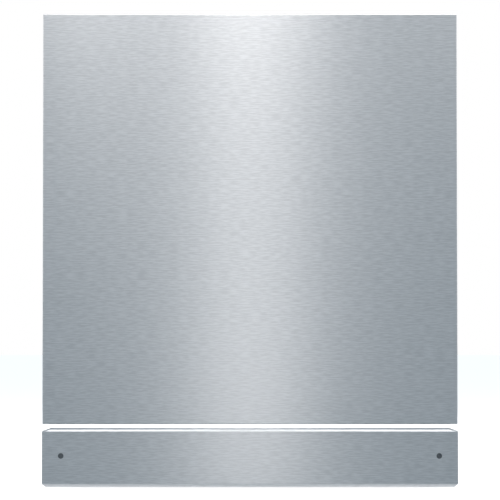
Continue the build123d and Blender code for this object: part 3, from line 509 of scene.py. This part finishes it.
def add_basket(bm, half, y0, y1, z0, z1, dip):
    """A welded wire basket: hoops both ways, two level rings and a rim that dips at the front."""
    top, inset = z1 - RIM_R, 3
    front = [(x, y0 + RIM_R, rim_height(x, half, top, dip)) for x in spread(half - RIM_R, RIM_R - half, 15)]
    rim = [(RIM_R - half, y1 - RIM_R, top), (half - RIM_R, y1 - RIM_R, top), *front]
    add_tube(bm, rounded(rim, 24.0, 5, True), RIM_R, 10, True)
    for share in (0.34, 0.68):
        z = z0 + share * (z1 - dip - z0)
        x, near, far = half - inset, y0 + inset, y1 - inset
        ring = [(-x, far, z), (x, far, z), (x, near, z), (-x, near, z)]
        add_tube(bm, rounded(ring, 24.0, 5, True), WIRE_R, 8, True)
    side, floor = half - WELD, z0 + 3.4  # the hoops across lie on those along
    for y in spread(y0 + 22.0, y1 - 22.0, HOOPS_ACROSS):
        hoop = [(-side, y, top), (-side, y, floor), (side, y, floor), (side, y, top)]
        add_tube(bm, rounded(hoop, 16.0), WIRE_R)
    floor = z0 + WIRE_R
    for x in spread(-half + 24.0, half - 24.0, HOOPS_ALONG):
        lip = rim_height(x, half, top, dip)
        hoop = [(x, y0 + WELD, lip), (x, y0 + WELD, floor), (x, y1 - WELD, floor), (x, y1 - WELD, top)]
        add_tube(bm, rounded(hoop, 16.0), WIRE_R)


def add_tines(bm, x, z, height):
    """A rod along Y with upright tines welded on it. It reaches a little past them."""
    past = 8.0
    add_tube(bm, [(x, TINE_YS[0] - past, z), (x, TINE_YS[-1] + past, z)], ROD_R, 10)
    for y in TINE_YS:
        add_tube(bm, [(x, y, z), (x, y, z + height - ROD_R)], TINE_R, 10)


def add_clips(bm, x, z, ys):
    """Snap clips that hold a rod down on the basket's floor."""
    size = 5.0
    for y in ys:
        outline = [(x - size, z - 4.0), (x - size, z + 2.0), (x - size * 0.55, z + 4.4)]
        outline += [(2 * x - u, v) for u, v in reversed(outline)]
        add_prism(bm, outline, y - 4.0, y + 4.0, "Y")


def add_grip(bm, y0, z):
    """A moulded handle over the middle of a front rim, whose wire is at height z."""
    outline = [(y0, z - 9), (y0, z + 5), (y0 + 2.5, z + 8), (y0 + 9, z + 8), (y0 + 11, z - 9)]
    add_prism(bm, outline, -GRIP_HALF, GRIP_HALF, "X")


def lower_rack():
    """Lower basket, its fixed tines, folding rows, clips and handle."""
    low, high = corners("lower_rack_basket")
    half, y0, y1, z0, z1 = high.x, low.y, high.y, low.z, high.z
    bm = bmesh.new()
    add_basket(bm, half, y0, y1, z0, z1, LOWER_DIP)
    for x in (-195.0, -90.0):
        add_tines(bm, x, z0 + ROD_LIFT, LOWER_TINE)
    finish_piece("lower_basket_wires", bm, wire_coat, "lower_rack", ["lower_rack_basket"])
    for node in ("tine_row_left", "tine_row_right"):
        low, high = corners(node)
        x = (low.x + high.x) / 2
        bm = bmesh.new()
        add_tines(bm, x, low.z + ROD_R, high.z - low.z - ROD_R)
        finish_piece(node + "_wires", bm, wire_coat, node, [node])
        bm = bmesh.new()
        add_clips(bm, x, low.z + ROD_R, [TINE_YS[k] + 17.0 for k in (0, 5, 10)])
        finish_piece(node + "_clips", bm, grey_plastic, "lower_rack", bevel=0.8)
    bm = bmesh.new()
    add_grip(bm, y0, z1 - LOWER_DIP - RIM_R)
    finish_piece("lower_rack_grip", bm, grey_plastic, "lower_rack", bevel=1.8)


def wheels():
    """Spoked wheels of the lower rack."""
    for node in ("wheels_front", "wheels_rear"):
        low, high = corners(node)
        y, z, radius = (low.y + high.y) / 2, (low.z + high.z) / 2, (high.z - low.z) / 2
        inner, outer = high.x - 10.0, high.x
        bore, hub = 3.05, 6
        bm = bmesh.new()
        for side in (-1, 1):
            a, b = sorted((side * inner, side * outer))
            tyre = [
                (radius - 4, a), (radius - 1, a), (radius, a + 1.4), (radius, b - 1.4),
                (radius - 1, b), (radius - 4, b), (radius - 4, a),
            ]
            add_lathe(bm, (0, y, z), tyre, "X", 48)
            add_lathe(bm, (0, y, z), [(bore, a), (hub, a), (hub, b), (bore, b), (bore, a)], "X", 32)
            for angle in turns(6):
                out = Vector((0, math.cos(angle), math.sin(angle)))
                across = Vector((0, -math.sin(angle), math.cos(angle)))
                spoke = []
                for x in (a + 2.5, b - 2.5):
                    centre = Vector((x, y, z))
                    near, far = centre + out * 5.0, centre + out * (radius - 3.0)
                    face = ((near, -1.3), (near, 1.3), (far, 1.8), (far, -1.8))
                    spoke.append([(p + across * w) * MM for p, w in face])
                add_bar(bm, spoke)
        finish_piece(node + "_spoked", bm, grey_plastic, node, [node], crease=35)


def upper_rack():
    """Upper basket with its short tines, zigzag rods and grip, and the folding cup shelf."""
    low, high = corners("upper_rack_basket")
    half, y0, y1, z0, z1 = high.x, low.y, high.y, low.z, high.z
    bm = bmesh.new()
    add_basket(bm, half, y0, y1, z0, z1, UPPER_DIP)
    for x in (-85.0, 85.0):
        add_tines(bm, x, z0 + ROD_LIFT, UPPER_TINE)
    for x in (-168.0, 0.0, 168.0):
        zigzag = [(x, y, z0 + ROD_LIFT + h) for y, h in zip(spread(-180, 210, 27), [0, 16] * 14)]
        add_tube(bm, rounded(zigzag, 6.0, 3), WIRE_R)
    finish_piece("upper_basket_wires", bm, wire_coat, "upper_rack", ["upper_rack_basket"])
    bm = bmesh.new()
    add_grip(bm, y0, z1 - UPPER_DIP - RIM_R)
    finish_piece("upper_rack_grip", bm, grey_plastic, "upper_rack", bevel=1.8)
    low, high = corners("cup_shelf_left")
    x, y0, y1 = (low.x + high.x) / 2, low.y + ROD_R, high.y - ROD_R
    z0, z1 = low.z + ROD_R, high.z - ROD_R
    bm = bmesh.new()
    edge = [(x, y0, z0), (x, y1, z0), (x, y1, z1), (x, y0, z1)]
    add_tube(bm, rounded(edge, 14.0, 5, True), ROD_R, 10, True)
    for y in spread(y0, y1, 11)[1:-1]:
        add_tube(bm, [(x, y, z0), (x, y, z1)], 1.5)
    finish_piece("cup_shelf_wires", bm, wire_coat, "cup_shelf", ["cup_shelf_left"])


def cutlery_basket():
    """Ribbed plastic basket with four compartments and a carrying bow."""
    node = "cutlery_basket"
    low, high = corners(node)
    x0, x1, y0, y1, z0, top = low.x, high.x, low.y, high.y, low.z, high.z
    z1, wall, bottom = top - 25.0, 2.4, 2.4
    low_band, high_band = z0 + 14, z1 - 26  # where the solid bands above and below the bars end
    bow_in = 52.0  # from the basket's ends to the bow's legs
    bm = bmesh.new()
    for x in (x0, x1 - wall):
        add_box(bm, (x, y0, z0), (x + wall, y1, low_band))
        add_box(bm, (x, y0, high_band), (x + wall, y1, z1))
        for y in spread(y0, y1 - 4.0, 24):
            add_box(bm, (x + 0.3, y, low_band - 1), (x + wall - 0.3, y + 4.0, high_band + 1))
        add_box(bm, (x + 0.2, y0, z0 + 50), (x + wall - 0.2, y1, z0 + 54))
    for y in spread(y0, y1 - wall, 5):
        add_box(bm, (x0 + 0.4, y, z0 + 0.4), (x1 - 0.4, y + wall, z1 - 0.4))
    for x in spread(x0 + 1, x1 - 4, 9):
        add_box(bm, (x, y0 + 0.4, z0), (x + 3, y1 - 0.4, z0 + bottom))
    for y in spread(y0 + 1, y1 - 4, 22):
        add_box(bm, (x0 + 0.4, y, z0 + 0.2), (x1 - 0.4, y + 3, z0 + bottom - 0.2))
    for x in (x0, x1 - 3.4):
        add_box(bm, (x, y0, z1 - 4), (x + 3.4, y1, z1))
    finish_piece(node + "_lattice", bm, grey_plastic, node, [node], bevel=0.5)
    middle = (x0 + x1) / 2
    bow = [(y0 + bow_in, z1 - 12), (y0 + bow_in, top - 2.5), (y1 - bow_in, top - 2.5), (y1 - bow_in, z1 - 12)]
    bm = bmesh.new()
    add_tube(bm, rounded([(middle, y, z) for y, z in bow], 20.0, 6), 3.2, 12)
    finish_piece(node + "_bow", bm, grey_plastic, node)


# ---------------------------------------------------------------- water works
def spray_arm(node, wing_low, wing_high):
    """A blown two-wing arm with full round edges, nozzles and a ribbed hub."""
    low, high = corners(node)
    reach, axis_y = high.x, (low.y + high.y) / 2
    root, tip = 24.0, 13.0
    middle, thick = (wing_low + wing_high) / 2, (wing_high - wing_low) / 2
    bm = bmesh.new()
    rings = []
    for x in spread(-reach + 0.2, reach - 0.2, 61):
        share = abs(x) / reach
        width = root - (root - tip) * ease(share * 1.1)
        over = abs(x) - (reach - tip)
        if over > 0:
            width = tip * math.sqrt(max(1 - (over / tip) ** 2, 0.0004))
        height = thick * min(1.0, 0.35 + width / tip * 0.65)
        row = []
        for angle in turns(20):
            c, s = math.cos(angle), math.sin(angle)
            y = width * math.copysign(abs(c) ** 0.62, c)
            z = height * math.copysign(abs(s) ** 0.55, s)
            row.append(point(x, axis_y + y, middle + z))
        rings.append(row)
    add_bar(bm, rings)
    finish_piece(node + "_wings", bm, grey_plastic, node, [node], crease=60)
    bm = bmesh.new()
    foot, top = low.z, high.z
    hub = [(0, foot), (19, foot), (20, foot + 1.2), (20, top - 3), (16, top - 1), (9, top), (0, top)]
    add_lathe(bm, (0, axis_y, 0), hub, "Z", 48)
    for angle in turns(10):
        rib = [(*polar((0, axis_y), r, angle), top - 1.4 - (r - 10) * 0.13) for r in (10, 17)]
        add_tube(bm, rib, 0.9)
    finish_piece(node + "_hub", bm, dark_plastic, node, crease=35)
    bm = bmesh.new()
    rim, bottom = wing_high + 0.5, wing_high - 0.9
    nozzle = [(4.6, wing_high - 1.2), (4.2, rim), (2.2, rim), (1.5, bottom), (0, bottom)]
    for x in spread(50.0, 190.0, 6):
        for side in (-1, 1):
            at = (side * x, axis_y + side * 5.0 * (1 - 0.4 * x / reach), 0)
            add_lathe(bm, at, nozzle, "Z", 20)
    finish_piece(node + "_nozzles", bm, dark_plastic, node, crease=30)


def filters():
    """Grip marks on the filter cylinder's rim, and a rim ring round the fine filter."""
    centre, radius = round_plan("filter_cylinder")
    outer_z, inner_z = 142.6, 143.2
    bm = bmesh.new()
    for angle in turns(12):
        outer, inner = polar(centre, radius - 2.2, angle), polar(centre, radius - 5, angle)
        add_tube(bm, [(*outer, outer_z), (*inner, inner_z)], 0.9)
    finish_piece("filter_grip_marks", bm, dark_plastic, "filter_cylinder")
    centre, r = round_plan("fine_filter")
    top = corners("fine_filter")[1].z
    bm = bmesh.new()
    add_lathe(bm, (*centre, top), [(r - 5, 0), (r - 4, 0.9), (r - 1, 0.9), (r, 0), (r - 5, 0)], "Z", 96)
    finish_piece("fine_filter_rim", bm, grey_plastic, "cabinet")


SHOWER_Y, SHOWER_RING, SHOWER_Z = 10.0, 16.0, 617.9


def shower_head():
    """Ring of spray holes on the ceiling shower."""
    bm = bmesh.new()
    for angle in turns(10):
        at = (*polar((0, SHOWER_Y), SHOWER_RING, angle), SHOWER_Z)
        add_lathe(bm, at, [(2.6, 0.6), (2.4, -0.3), (1.4, -0.3), (1.0, 0.5), (0, 0.5)], "Z", 16)
    finish_piece("shower_nozzles", bm, dark_plastic, "cabinet")


# ---------------------------------------------------------------- tub, seals and door
def gasket():
    """Door gasket with a hollow-looking bulb and a foot, round the mouth and over the sill."""
    low, high = corners("tub_gasket")
    half = 4.2
    depth = high.y - low.y
    angles = spread(math.radians(-25), math.radians(205), 11)
    bulb = [(half * math.cos(a), depth - 3.4 + 3.2 * math.sin(a)) for a in angles]
    foot = [(half * 0.95, 0.2), (half * 0.95, 1.6), (half * 0.6, 2.2)]
    profile = [*[(-u, v) for u, v in foot], *reversed(bulb), *reversed(foot)]
    x, top = high.x - 4.5, high.z - 4.7
    sill_z, lip_z = 152.8, 145.5
    mouth = [(x, high.y, sill_z), (x, high.y, top), (-x, high.y, top), (-x, high.y, sill_z)]
    bm = bmesh.new()
    add_strip(bm, rounded(mouth, 16.0, 8), profile)
    lip = [(-270.5, high.y, lip_z), (270.5, high.y, lip_z)]
    lip_profile = [(-3.4, 0.1), (-3.4, 1.2), (-1.6, 2.0), (-0.9, 3.4)]
    lip_profile += [(0.2, 3.5), (0.9, 1.8), (3.4, 1.2), (3.4, 0.1)]
    add_strip(bm, lip, lip_profile)
    finish_piece("door_gasket", bm, gasket_rubber, "cabinet", ["tub_gasket"], crease=50)


# centres of the beads on the liner and on its sunk field
LINER_Y, SUNK_FIELD_Y = -222.6, -229.4


def pressed_beads():
    """Rolled beads that stiffen the tub walls, ceiling and inner door."""
    bm = bmesh.new()
    front, rear, wall_x, ceiling_z, bead = -180.0, 226.0, 272.8, 645.8, 2.4
    for z in (252.0, 352.0, 420.0, 580.0):
        for x in (-wall_x, wall_x):
            add_tube(bm, [(x, front, z), (x, rear, z)], bead, 12)
    for x in (-170.0, -90.0, 90.0, 170.0):
        add_tube(bm, [(x, front, ceiling_z), (x, rear, ceiling_z)], bead, 12)
    finish_piece("tub_beads", bm, tub_steel, "cabinet")
    bm = bmesh.new()
    field = [(x, LINER_Y, z) for x, z in ((-236, 160), (236, 160), (236, 622), (-236, 622))]
    add_tube(bm, rounded(field, 34.0, 8, True), 2.0, 12, True)
    for z in (212.0, 268.0, 480.0, 540.0):
        add_tube(bm, [(x, SUNK_FIELD_Y, z) for x in (-170.0, 170.0)], 2.2, 12)
    finish_piece("liner_beads", bm, tub_steel, "door")


DISPENSER_Y, LID_Y = -225.4, -221.4  # tub-side faces of the dispenser and of its lids


def dispenser_details():
    """Ribs on the detergent lid, a level window, corner screws and a lip on the rinse-aid flap."""
    low, high = corners("detergent_lid")
    bm = bmesh.new()
    for z in spread(low.z + 20, low.z + 56, 5):
        add_tube(bm, [(low.x + 12, LID_Y, z), (high.x - 12, LID_Y, z)], 0.9)
    finish_piece("detergent_lid_ribs", bm, pale_plastic, "detergent_lid")
    bm = bmesh.new()
    window = [(8.5, -0.2), (8.5, 1.2), (6.5, 1.6), (6.3, 0.9), (0, 0.9)]
    add_lathe(bm, (40, DISPENSER_Y, 350), window, "Y", 32)
    finish_piece("rinse_aid_window", bm, lens_plastic, "door")
    bm = bmesh.new()
    head = [(2.6, -0.2), (2.6, 0.5), (1.8, 1.0), (1.0, 1.0), (0.9, 0.4), (0, 0.4)]
    for x, z in ((-80, 323), (80, 323), (-80, 429), (80, 429)):
        add_lathe(bm, (x, DISPENSER_Y, z), head, "Y", 20)
    finish_piece("dispenser_screws", bm, bracket_steel, "door")
    low, high = corners("rinse_aid_cap")
    bm = bmesh.new()
    x0, x1, z0, z1 = low.x + 6, high.x - 6, high.z - 8, high.z - 4
    add_prism(bm, [(x0, z0), (x1, z0), (x1, z1), (x0, z1)], LID_Y - 0.3, LID_Y + 0.8, "Y")
    finish_piece("rinse_aid_cap_lip", bm, blue_plastic, "rinse_aid_cap", bevel=0.4)


STRIP_Y = -240.0  # middle of the control strip


def control_strip():
    """Status lights beside the display and a dished ring on each button."""
    top = corners("control_housing")[1].z
    bm = bmesh.new()
    for x in spread(170.0, 212.0, 4):
        add_lathe(bm, (x, STRIP_Y, top), [(1.6, -0.2), (1.6, 0.25), (1.1, 0.45), (0, 0.5)], "Z", 16)
    finish_piece("status_lights", bm, pale_plastic, "door")
    ring = [(3.2, -0.1), (3.2, 0.25), (2.5, 0.35), (2.3, 0.05), (0, 0.0)]
    for node in ("power_button", "program_button", "start_button"):
        low, high = corners(node)
        bm = bmesh.new()
        add_lathe(bm, ((low.x + high.x) / 2, STRIP_Y, high.z), ring, "Z", 28)
        finish_piece(node + "_ring", bm, pale_plastic, node)


def springs():
    """Door balance springs, one on each side of the tub: a coil, its two hooks and an anchor plate."""
    x, z, radius, wire = 286.0, 160.0, 6.2, 0.9  # the coil's axis, its radius and its wire's radius
    start, end, coils, steps = -190.0, -70.0, 46, 12
    eye_x, eye_y, eye_radius, hook = 288.0, -240.0, 3.4, 1.0
    plate_front, plate_back = -54, -51
    for side, name in ((-1, "left"), (1, "right")):
        coil = []
        for i, y in enumerate(spread(start, end, coils * steps + 1)):
            across, up = polar((side * x, z), radius, math.tau * i / steps)
            coil.append((across, y, up))
        bm = bmesh.new()
        add_tube(bm, coil, wire, 6)
        eye = [(side * eye_x, *polar((eye_y, z), eye_radius, angle)) for angle in spread(0.6, 5.7, 12)]
        add_tube(bm, [(side * eye_x, start + 1, z + 2), *eye], hook, 6)
        add_tube(bm, [(side * x, end - 1, z), (side * 284, plate_front + 2, z)], hook, 6)
        a, b = sorted((side * 273, side * 290))
        add_box(bm, (a, plate_front, z - 10), (b, plate_back, z + 10))
        spring = finish_piece("door_spring_" + name, bm, spring_steel)
        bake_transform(spring)
        if side < 0:
            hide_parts("door_springs")


# ---------------------------------------------------------------- casing and base
def plinth_highlight():
    """Painted highlight along the plinth's lip and down its mitred ends: a thin, lighter, faintly glowing
    steel strip in place of the light that the fold catches.
    """
    # the face's corner and the lip's corner, and the edge's height at each
    path = [(-297.6, -279.6, 81.4, 1.2), (-286.0, -268.3, 85.0, 1.6)]
    path += [(-x, y, z, rise) for x, y, z, rise in reversed(path)]
    depth = 0.5
    rings = []
    for x, y, z, rise in path:
        section = ((y, z), (y, z + rise), (y + depth, z + rise), (y + depth, z))
        rings.append([point(x, v, w) for v, w in section])
    bm = bmesh.new()
    add_bar(bm, rings)
    finish_piece("plinth_highlight", bm, highlight_steel, "cabinet")


def add_blanket(bm, low, high, normal, pitch, puff):
    """A quilted pad between two corners: its outer face swells between stitch lines."""
    u_axis, v_axis = [i for i in range(3) if i != normal]
    grid_step = 14
    us, vs = [spread(low[i], high[i], max(int((high[i] - low[i]) / grid_step), 4)) for i in (u_axis, v_axis)]

    def at(u, v, w):
        spot = [0.0, 0.0, 0.0]
        spot[u_axis], spot[v_axis], spot[normal] = u, v, w
        return point(*spot)

    def swell(u, v):
        across = math.sin(math.pi * (u - low[u_axis]) / pitch)
        along = math.sin(math.pi * (v - low[v_axis]) / pitch)
        edge = min(u - low[u_axis], high[u_axis] - u, v - low[v_axis], high[v_axis] - v)
        wave = 0.35 * math.sin(u * 0.031 + 1.3) * math.cos(v * 0.027)  # keeps the quilting from being even
        crown = 0.25 + 0.75 * abs(across * along) ** 0.45 + 0.2 * wave
        return high[normal] - puff + puff * crown * ease(edge / 10.0) * 0.85

    def border(grid):
        last = [row[-1] for row in reversed(grid[:-1])]
        return [row[0] for row in grid] + grid[-1][1:] + last + list(reversed(grid[0][1:-1]))

    top = [[bm.verts.new(at(u, v, swell(u, v))) for v in vs] for u in us]
    base = [[bm.verts.new(at(u, v, low[normal])) for v in vs] for u in us]
    for grid in (top, base):
        for i in range(len(us) - 1):
            for j in range(len(vs) - 1):
                bm.faces.new((grid[i][j], grid[i + 1][j], grid[i + 1][j + 1], grid[i][j + 1]))
    edge_top, edge_low = border(top), border(base)
    for i in range(len(edge_top)):
        bm.faces.new((edge_top[i - 1], edge_top[i], edge_low[i], edge_low[i - 1]))


def blankets():
    """Felt blankets over the tub. Each has its corners, the axis it swells along, stitch pitch and swell."""
    spots = {
        "felt_top": ((-262, -172, 646), (262, 250, 658), 2, 105.0, 5.0),
        "felt_left": ((-279, -200, 190), (-273.2, 250, 640), 0, 150.0, 2.0),
        "felt_right": ((273.2, -200, 190), (279, 250, 640), 0, 150.0, 2.0),
        "felt_back": ((-262, 263.5, 160), (262, 274, 640), 1, 120.0, 4.0),
    }
    for name, (low, high, normal, pitch, puff) in spots.items():
        bm = bmesh.new()
        add_blanket(bm, low, high, normal, pitch, puff)
        blanket = finish_piece(name, bm, blanket_felt, "cabinet", crease=70)
        if name == "felt_top":
            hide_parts("tub_insulation")


def base_ribs():
    """Moulded ribs on the base's outer walls, and a raised band round its top."""
    bm = bmesh.new()
    half, low, high = 1.2, 18, 112  # half of a rib's width, its foot and its top
    for side in (-1, 1):
        a, b = sorted((side * 293.3, side * 295.0))
        for y in spread(-128.0, 262.0, 14):
            add_box(bm, (a, y - half, low), (b, y + half, high))
        a, b = sorted((side * 293.3, side * 295.6))
        add_box(bm, (a, -146, high), (b, 266, high + 4))
    for x in (-270.0, -252.0, -140.0, -110.0, -80.0, 80.0, 110.0, 140.0, 252.0, 270.0):
        add_box(bm, (x - half, 278.8, low), (x + half, 279.8, high))
    finish_piece("base_ribs", bm, base_plastic, "cabinet", bevel=0.5)


INLET_X, OUTLET_X, FITTING_Z = -200, 210, 70


def rear_fittings():
    """Thread on the water inlet, ridges on the drain spigot and screws beside the mains inlet."""
    bm = bmesh.new()
    for y in spread(264.0, 277.0, 8):
        add_lathe(bm, (INLET_X, y, FITTING_Z), [(13.0, -0.8), (13.5, 0), (13.0, 0.8), (13.0, -0.8)], "Y", 40)
    finish_piece("inlet_thread", bm, pale_plastic, "cabinet")
    bm = bmesh.new()
    for y in (262.0, 267.0, 272.0):
        add_lathe(bm, (OUTLET_X, y, FITTING_Z), [(9.3, -1.6), (10.2, 1.2), (9.3, 1.6), (9.3, -1.6)], "Y", 32)
    finish_piece("drain_barbs", bm, dark_plastic, "cabinet")
    bm = bmesh.new()
    head = [(3.4, -0.4), (3.4, 0.8), (2.4, 1.5), (1.2, 1.5), (1.1, 0.6), (0, 0.6)]
    for x in (-22.0, 42.0):
        add_lathe(bm, (x, 276, FITTING_Z), head, "Y", 24)
    finish_piece("inlet_screws", bm, bracket_steel, "cabinet")


def top_screws():
    """Casing screws along the side panels' top flanges and the cross rail."""
    bm = bmesh.new()
    casing_top = 674
    head = [(4.4, -0.2), (4.4, 0.5), (3.4, 0.8), (3.2, 1.8), (1.7, 2.1), (1.6, 1.0), (0, 1.0)]
    spots = [(x, y) for x in (-291.0, 291.0) for y in (-190.0, -30.0, 120.0, 262.0)]
    spots += [(x, -201.0) for x in (-150.0, 0.0, 150.0)]
    for x, y in spots:
        add_lathe(bm, (x, y, casing_top), head, "Z", 24)
    finish_piece("casing_screws", bm, bracket_steel, "cabinet", crease=30)


FOOT_SPOTS = {
    "foot_front_left": [(-262, -165)],
    "foot_front_right": [(262, -165)],
    "feet_rear": [(-262, 235), (262, 235)],
}


def feet():
    """Threaded levelling feet with a round collar and a ribbed pad."""
    profile = [(0, 0), (19, 0), (22, 1.5), (22, 7), (19.5, 10), (9, 10), (9, 11.6), (6, 11.6)]
    for z in spread(13.0, 68.0, 32):
        profile += [(5.2, z - 0.5), (6.0, z + 0.35)]
    profile += [(5.0, 70), (0, 70)]
    for node, spots in FOOT_SPOTS.items():
        bm = bmesh.new()
        for x, y in spots:
            add_lathe(bm, (x, y, 0), profile, "Z", 36)
            for angle in turns(12):
                add_tube(bm, [(*polar((x, y), r, angle), 8.6) for r in (12, 19)], 0.9)
        finish_piece(node + "_threaded", bm, dark_plastic, node, [node], crease=35)


# ---------------------------------------------------------------- studio
FRAME_HEIGHT = 717.5  # what the picture takes in at the door front
CAMERA_DISTANCE = 4000.0
FRONT_Y, AIM_Z = -280, 341.5
PITCH = math.radians(1.8)
SENSOR = 36.0
LAMP_COLOR = (1.0, 0.95, 0.92)
SKY_COLOR, SKY_STRENGTH = (0.74, 0.89, 1, 1), 0.375


def camera():
    """Camera straight in front, aimed at mid height and tipped up slightly."""
    data = bpy.data.cameras.new("camera")
    data.sensor_width = SENSOR
    data.lens = SENSOR * CAMERA_DISTANCE / FRAME_HEIGHT
    data.clip_end = 60.0
    cam = bpy.data.objects.new("camera", data)
    bpy.context.scene.collection.objects.link(cam)
    target = point(0, FRONT_Y, AIM_Z)
    back = Vector((0, -math.cos(PITCH), -math.sin(PITCH))) * CAMERA_DISTANCE * MM
    cam.location = target + back
    cam.rotation_euler = (-back).to_track_quat("-Z", "Y").to_euler()
    bpy.context.scene.camera = cam


def area_light(name, spot, target, width, height, power):
    """A soft rectangular light that points at a target. Cameras don't see it."""
    data = bpy.data.lights.new(name, "AREA")
    data.shape, data.size, data.size_y, data.energy = "RECTANGLE", width, height, power
    data.color = LAMP_COLOR
    lamp = bpy.data.objects.new(name, data)
    lamp.location = spot
    lamp.rotation_euler = (Vector(target) - Vector(spot)).to_track_quat("-Z", "Y").to_euler()
    lamp.visible_camera = False
    bpy.context.scene.collection.objects.link(lamp)


def ground(name, size, place, shade, glow):
    """A plain pale sheet, part of the studio, from its half width and middle in metres."""
    bm = bmesh.new()
    bmesh.ops.create_grid(bm, x_segments=1, y_segments=1, size=size)
    mesh = bpy.data.meshes.new(name)
    bm.to_mesh(mesh)
    bm.free()
    sheet = bpy.data.objects.new(name, mesh)
    sheet.location = place
    bpy.context.scene.collection.objects.link(sheet)
    white = (1.0, 1.0, 1.0, 1.0)
    pale = material(name + "_pale", even(shade), 0.9, Emission_Color=white, Emission_Strength=glow)
    mesh.materials.append(pale)
    return sheet


def floor():
    """Plain pale floor, and a sheet under the machine that only its polished faces see."""
    ground("floor", 30.0, (0, 0, 0), 0.9, 0.7).visible_glossy = False
    sheet = ground("sheet", 0.31, (0, 0.03, -0.0005), 0.75, 0.04)
    sheet.visible_camera = sheet.visible_diffuse = sheet.visible_shadow = False


def sky():
    """White backdrop to the camera, soft bluish surroundings to the object."""
    world = bpy.data.worlds.new("studio")
    bpy.context.scene.world = world
    world.use_nodes = True
    tree = world.node_tree
    tree.nodes.clear()
    out = tree.nodes.new("ShaderNodeOutputWorld")
    seen, lit = tree.nodes.new("ShaderNodeBackground"), tree.nodes.new("ShaderNodeBackground")
    seen.inputs["Color"].default_value, seen.inputs["Strength"].default_value = (1, 1, 1, 1), 1.0
    lit.inputs["Color"].default_value, lit.inputs["Strength"].default_value = SKY_COLOR, SKY_STRENGTH
    path, blend = tree.nodes.new("ShaderNodeLightPath"), tree.nodes.new("ShaderNodeMixShader")
    tree.links.new(path.outputs["Is Camera Ray"], blend.inputs["Fac"])
    tree.links.new(lit.outputs["Background"], blend.inputs[1])
    tree.links.new(seen.outputs["Background"], blend.inputs[2])
    tree.links.new(blend.outputs["Shader"], out.inputs["Surface"])


# soft boxes: name, place, what they face, width and height, all in metres, then power
SOFT_BOXES = (
    ("centre_top", (0.0, -1.78, 2.40), (0.0, -0.28, 0.60), 0.14, 0.6, 4.6),
    ("centre_high", (0.0, -1.78, 1.60), (0.0, -0.28, 0.35), 0.14, 1.4, 2.7),
    ("centre_mid", (0.0, -1.78, 0.50), (0.0, -0.28, 0.35), 0.16, 0.4, 0.17),
    ("centre_floor", (0.0, -1.78, 0.06), (0.0, -0.28, 0.06), 0.20, 0.10, 0.27),
    ("left_tall", (-0.36, -1.78, 1.60), (-0.36, -0.28, 0.35), 0.20, 1.4, 2.0),
    ("right_tall", (0.46, -1.78, 1.60), (0.46, -0.28, 0.35), 0.24, 1.4, 0.5),
    ("right_top", (0.50, -1.78, 2.40), (0.50, -0.28, 0.60), 0.24, 0.6, 3.2),
    ("left_corner", (-2.4, -2.2, 1.4), (0.0, 0.0, 0.3), 1.6, 2.2, 16.0),
    ("right_corner", (2.4, -2.2, 1.4), (0.0, 0.0, 0.3), 1.6, 2.2, 16.0),
    ("left_wall", (-3.2, 0.4, 1.4), (0.0, 0.0, 0.3), 2.4, 2.4, 25.0),
    ("right_wall", (3.2, 0.4, 1.4), (0.0, 0.0, 0.3), 2.4, 2.4, 25.0),
    ("top_box", (0.2, -1.2, 3.2), (0.0, 0.0, 0.3), 2.6, 2.6, 51.0),
    ("back_box", (0.4, 3.2, 1.8), (0.0, 0.0, 0.3), 2.4, 2.4, 34.0),
)


def studio():
    """Camera, floor, surroundings and lights."""
    camera()
    floor()
    sky()
    for box in SOFT_BOXES:
        area_light(*box)
    bpy.context.scene.view_settings.view_transform = "Standard"


# ---------------------------------------------------------------- build
dress_nodes()
lower_rack()
wheels()
upper_rack()
cutlery_basket()
spray_arm("lower_spray_arm", 148.5, 157.5)
spray_arm("upper_spray_arm", 434.0, 442.0)
filters()
shower_head()
gasket()
pressed_beads()
dispenser_details()
control_strip()
springs()
plinth_highlight()
blankets()
base_ribs()
rear_fittings()
top_screws()
feet()
studio()
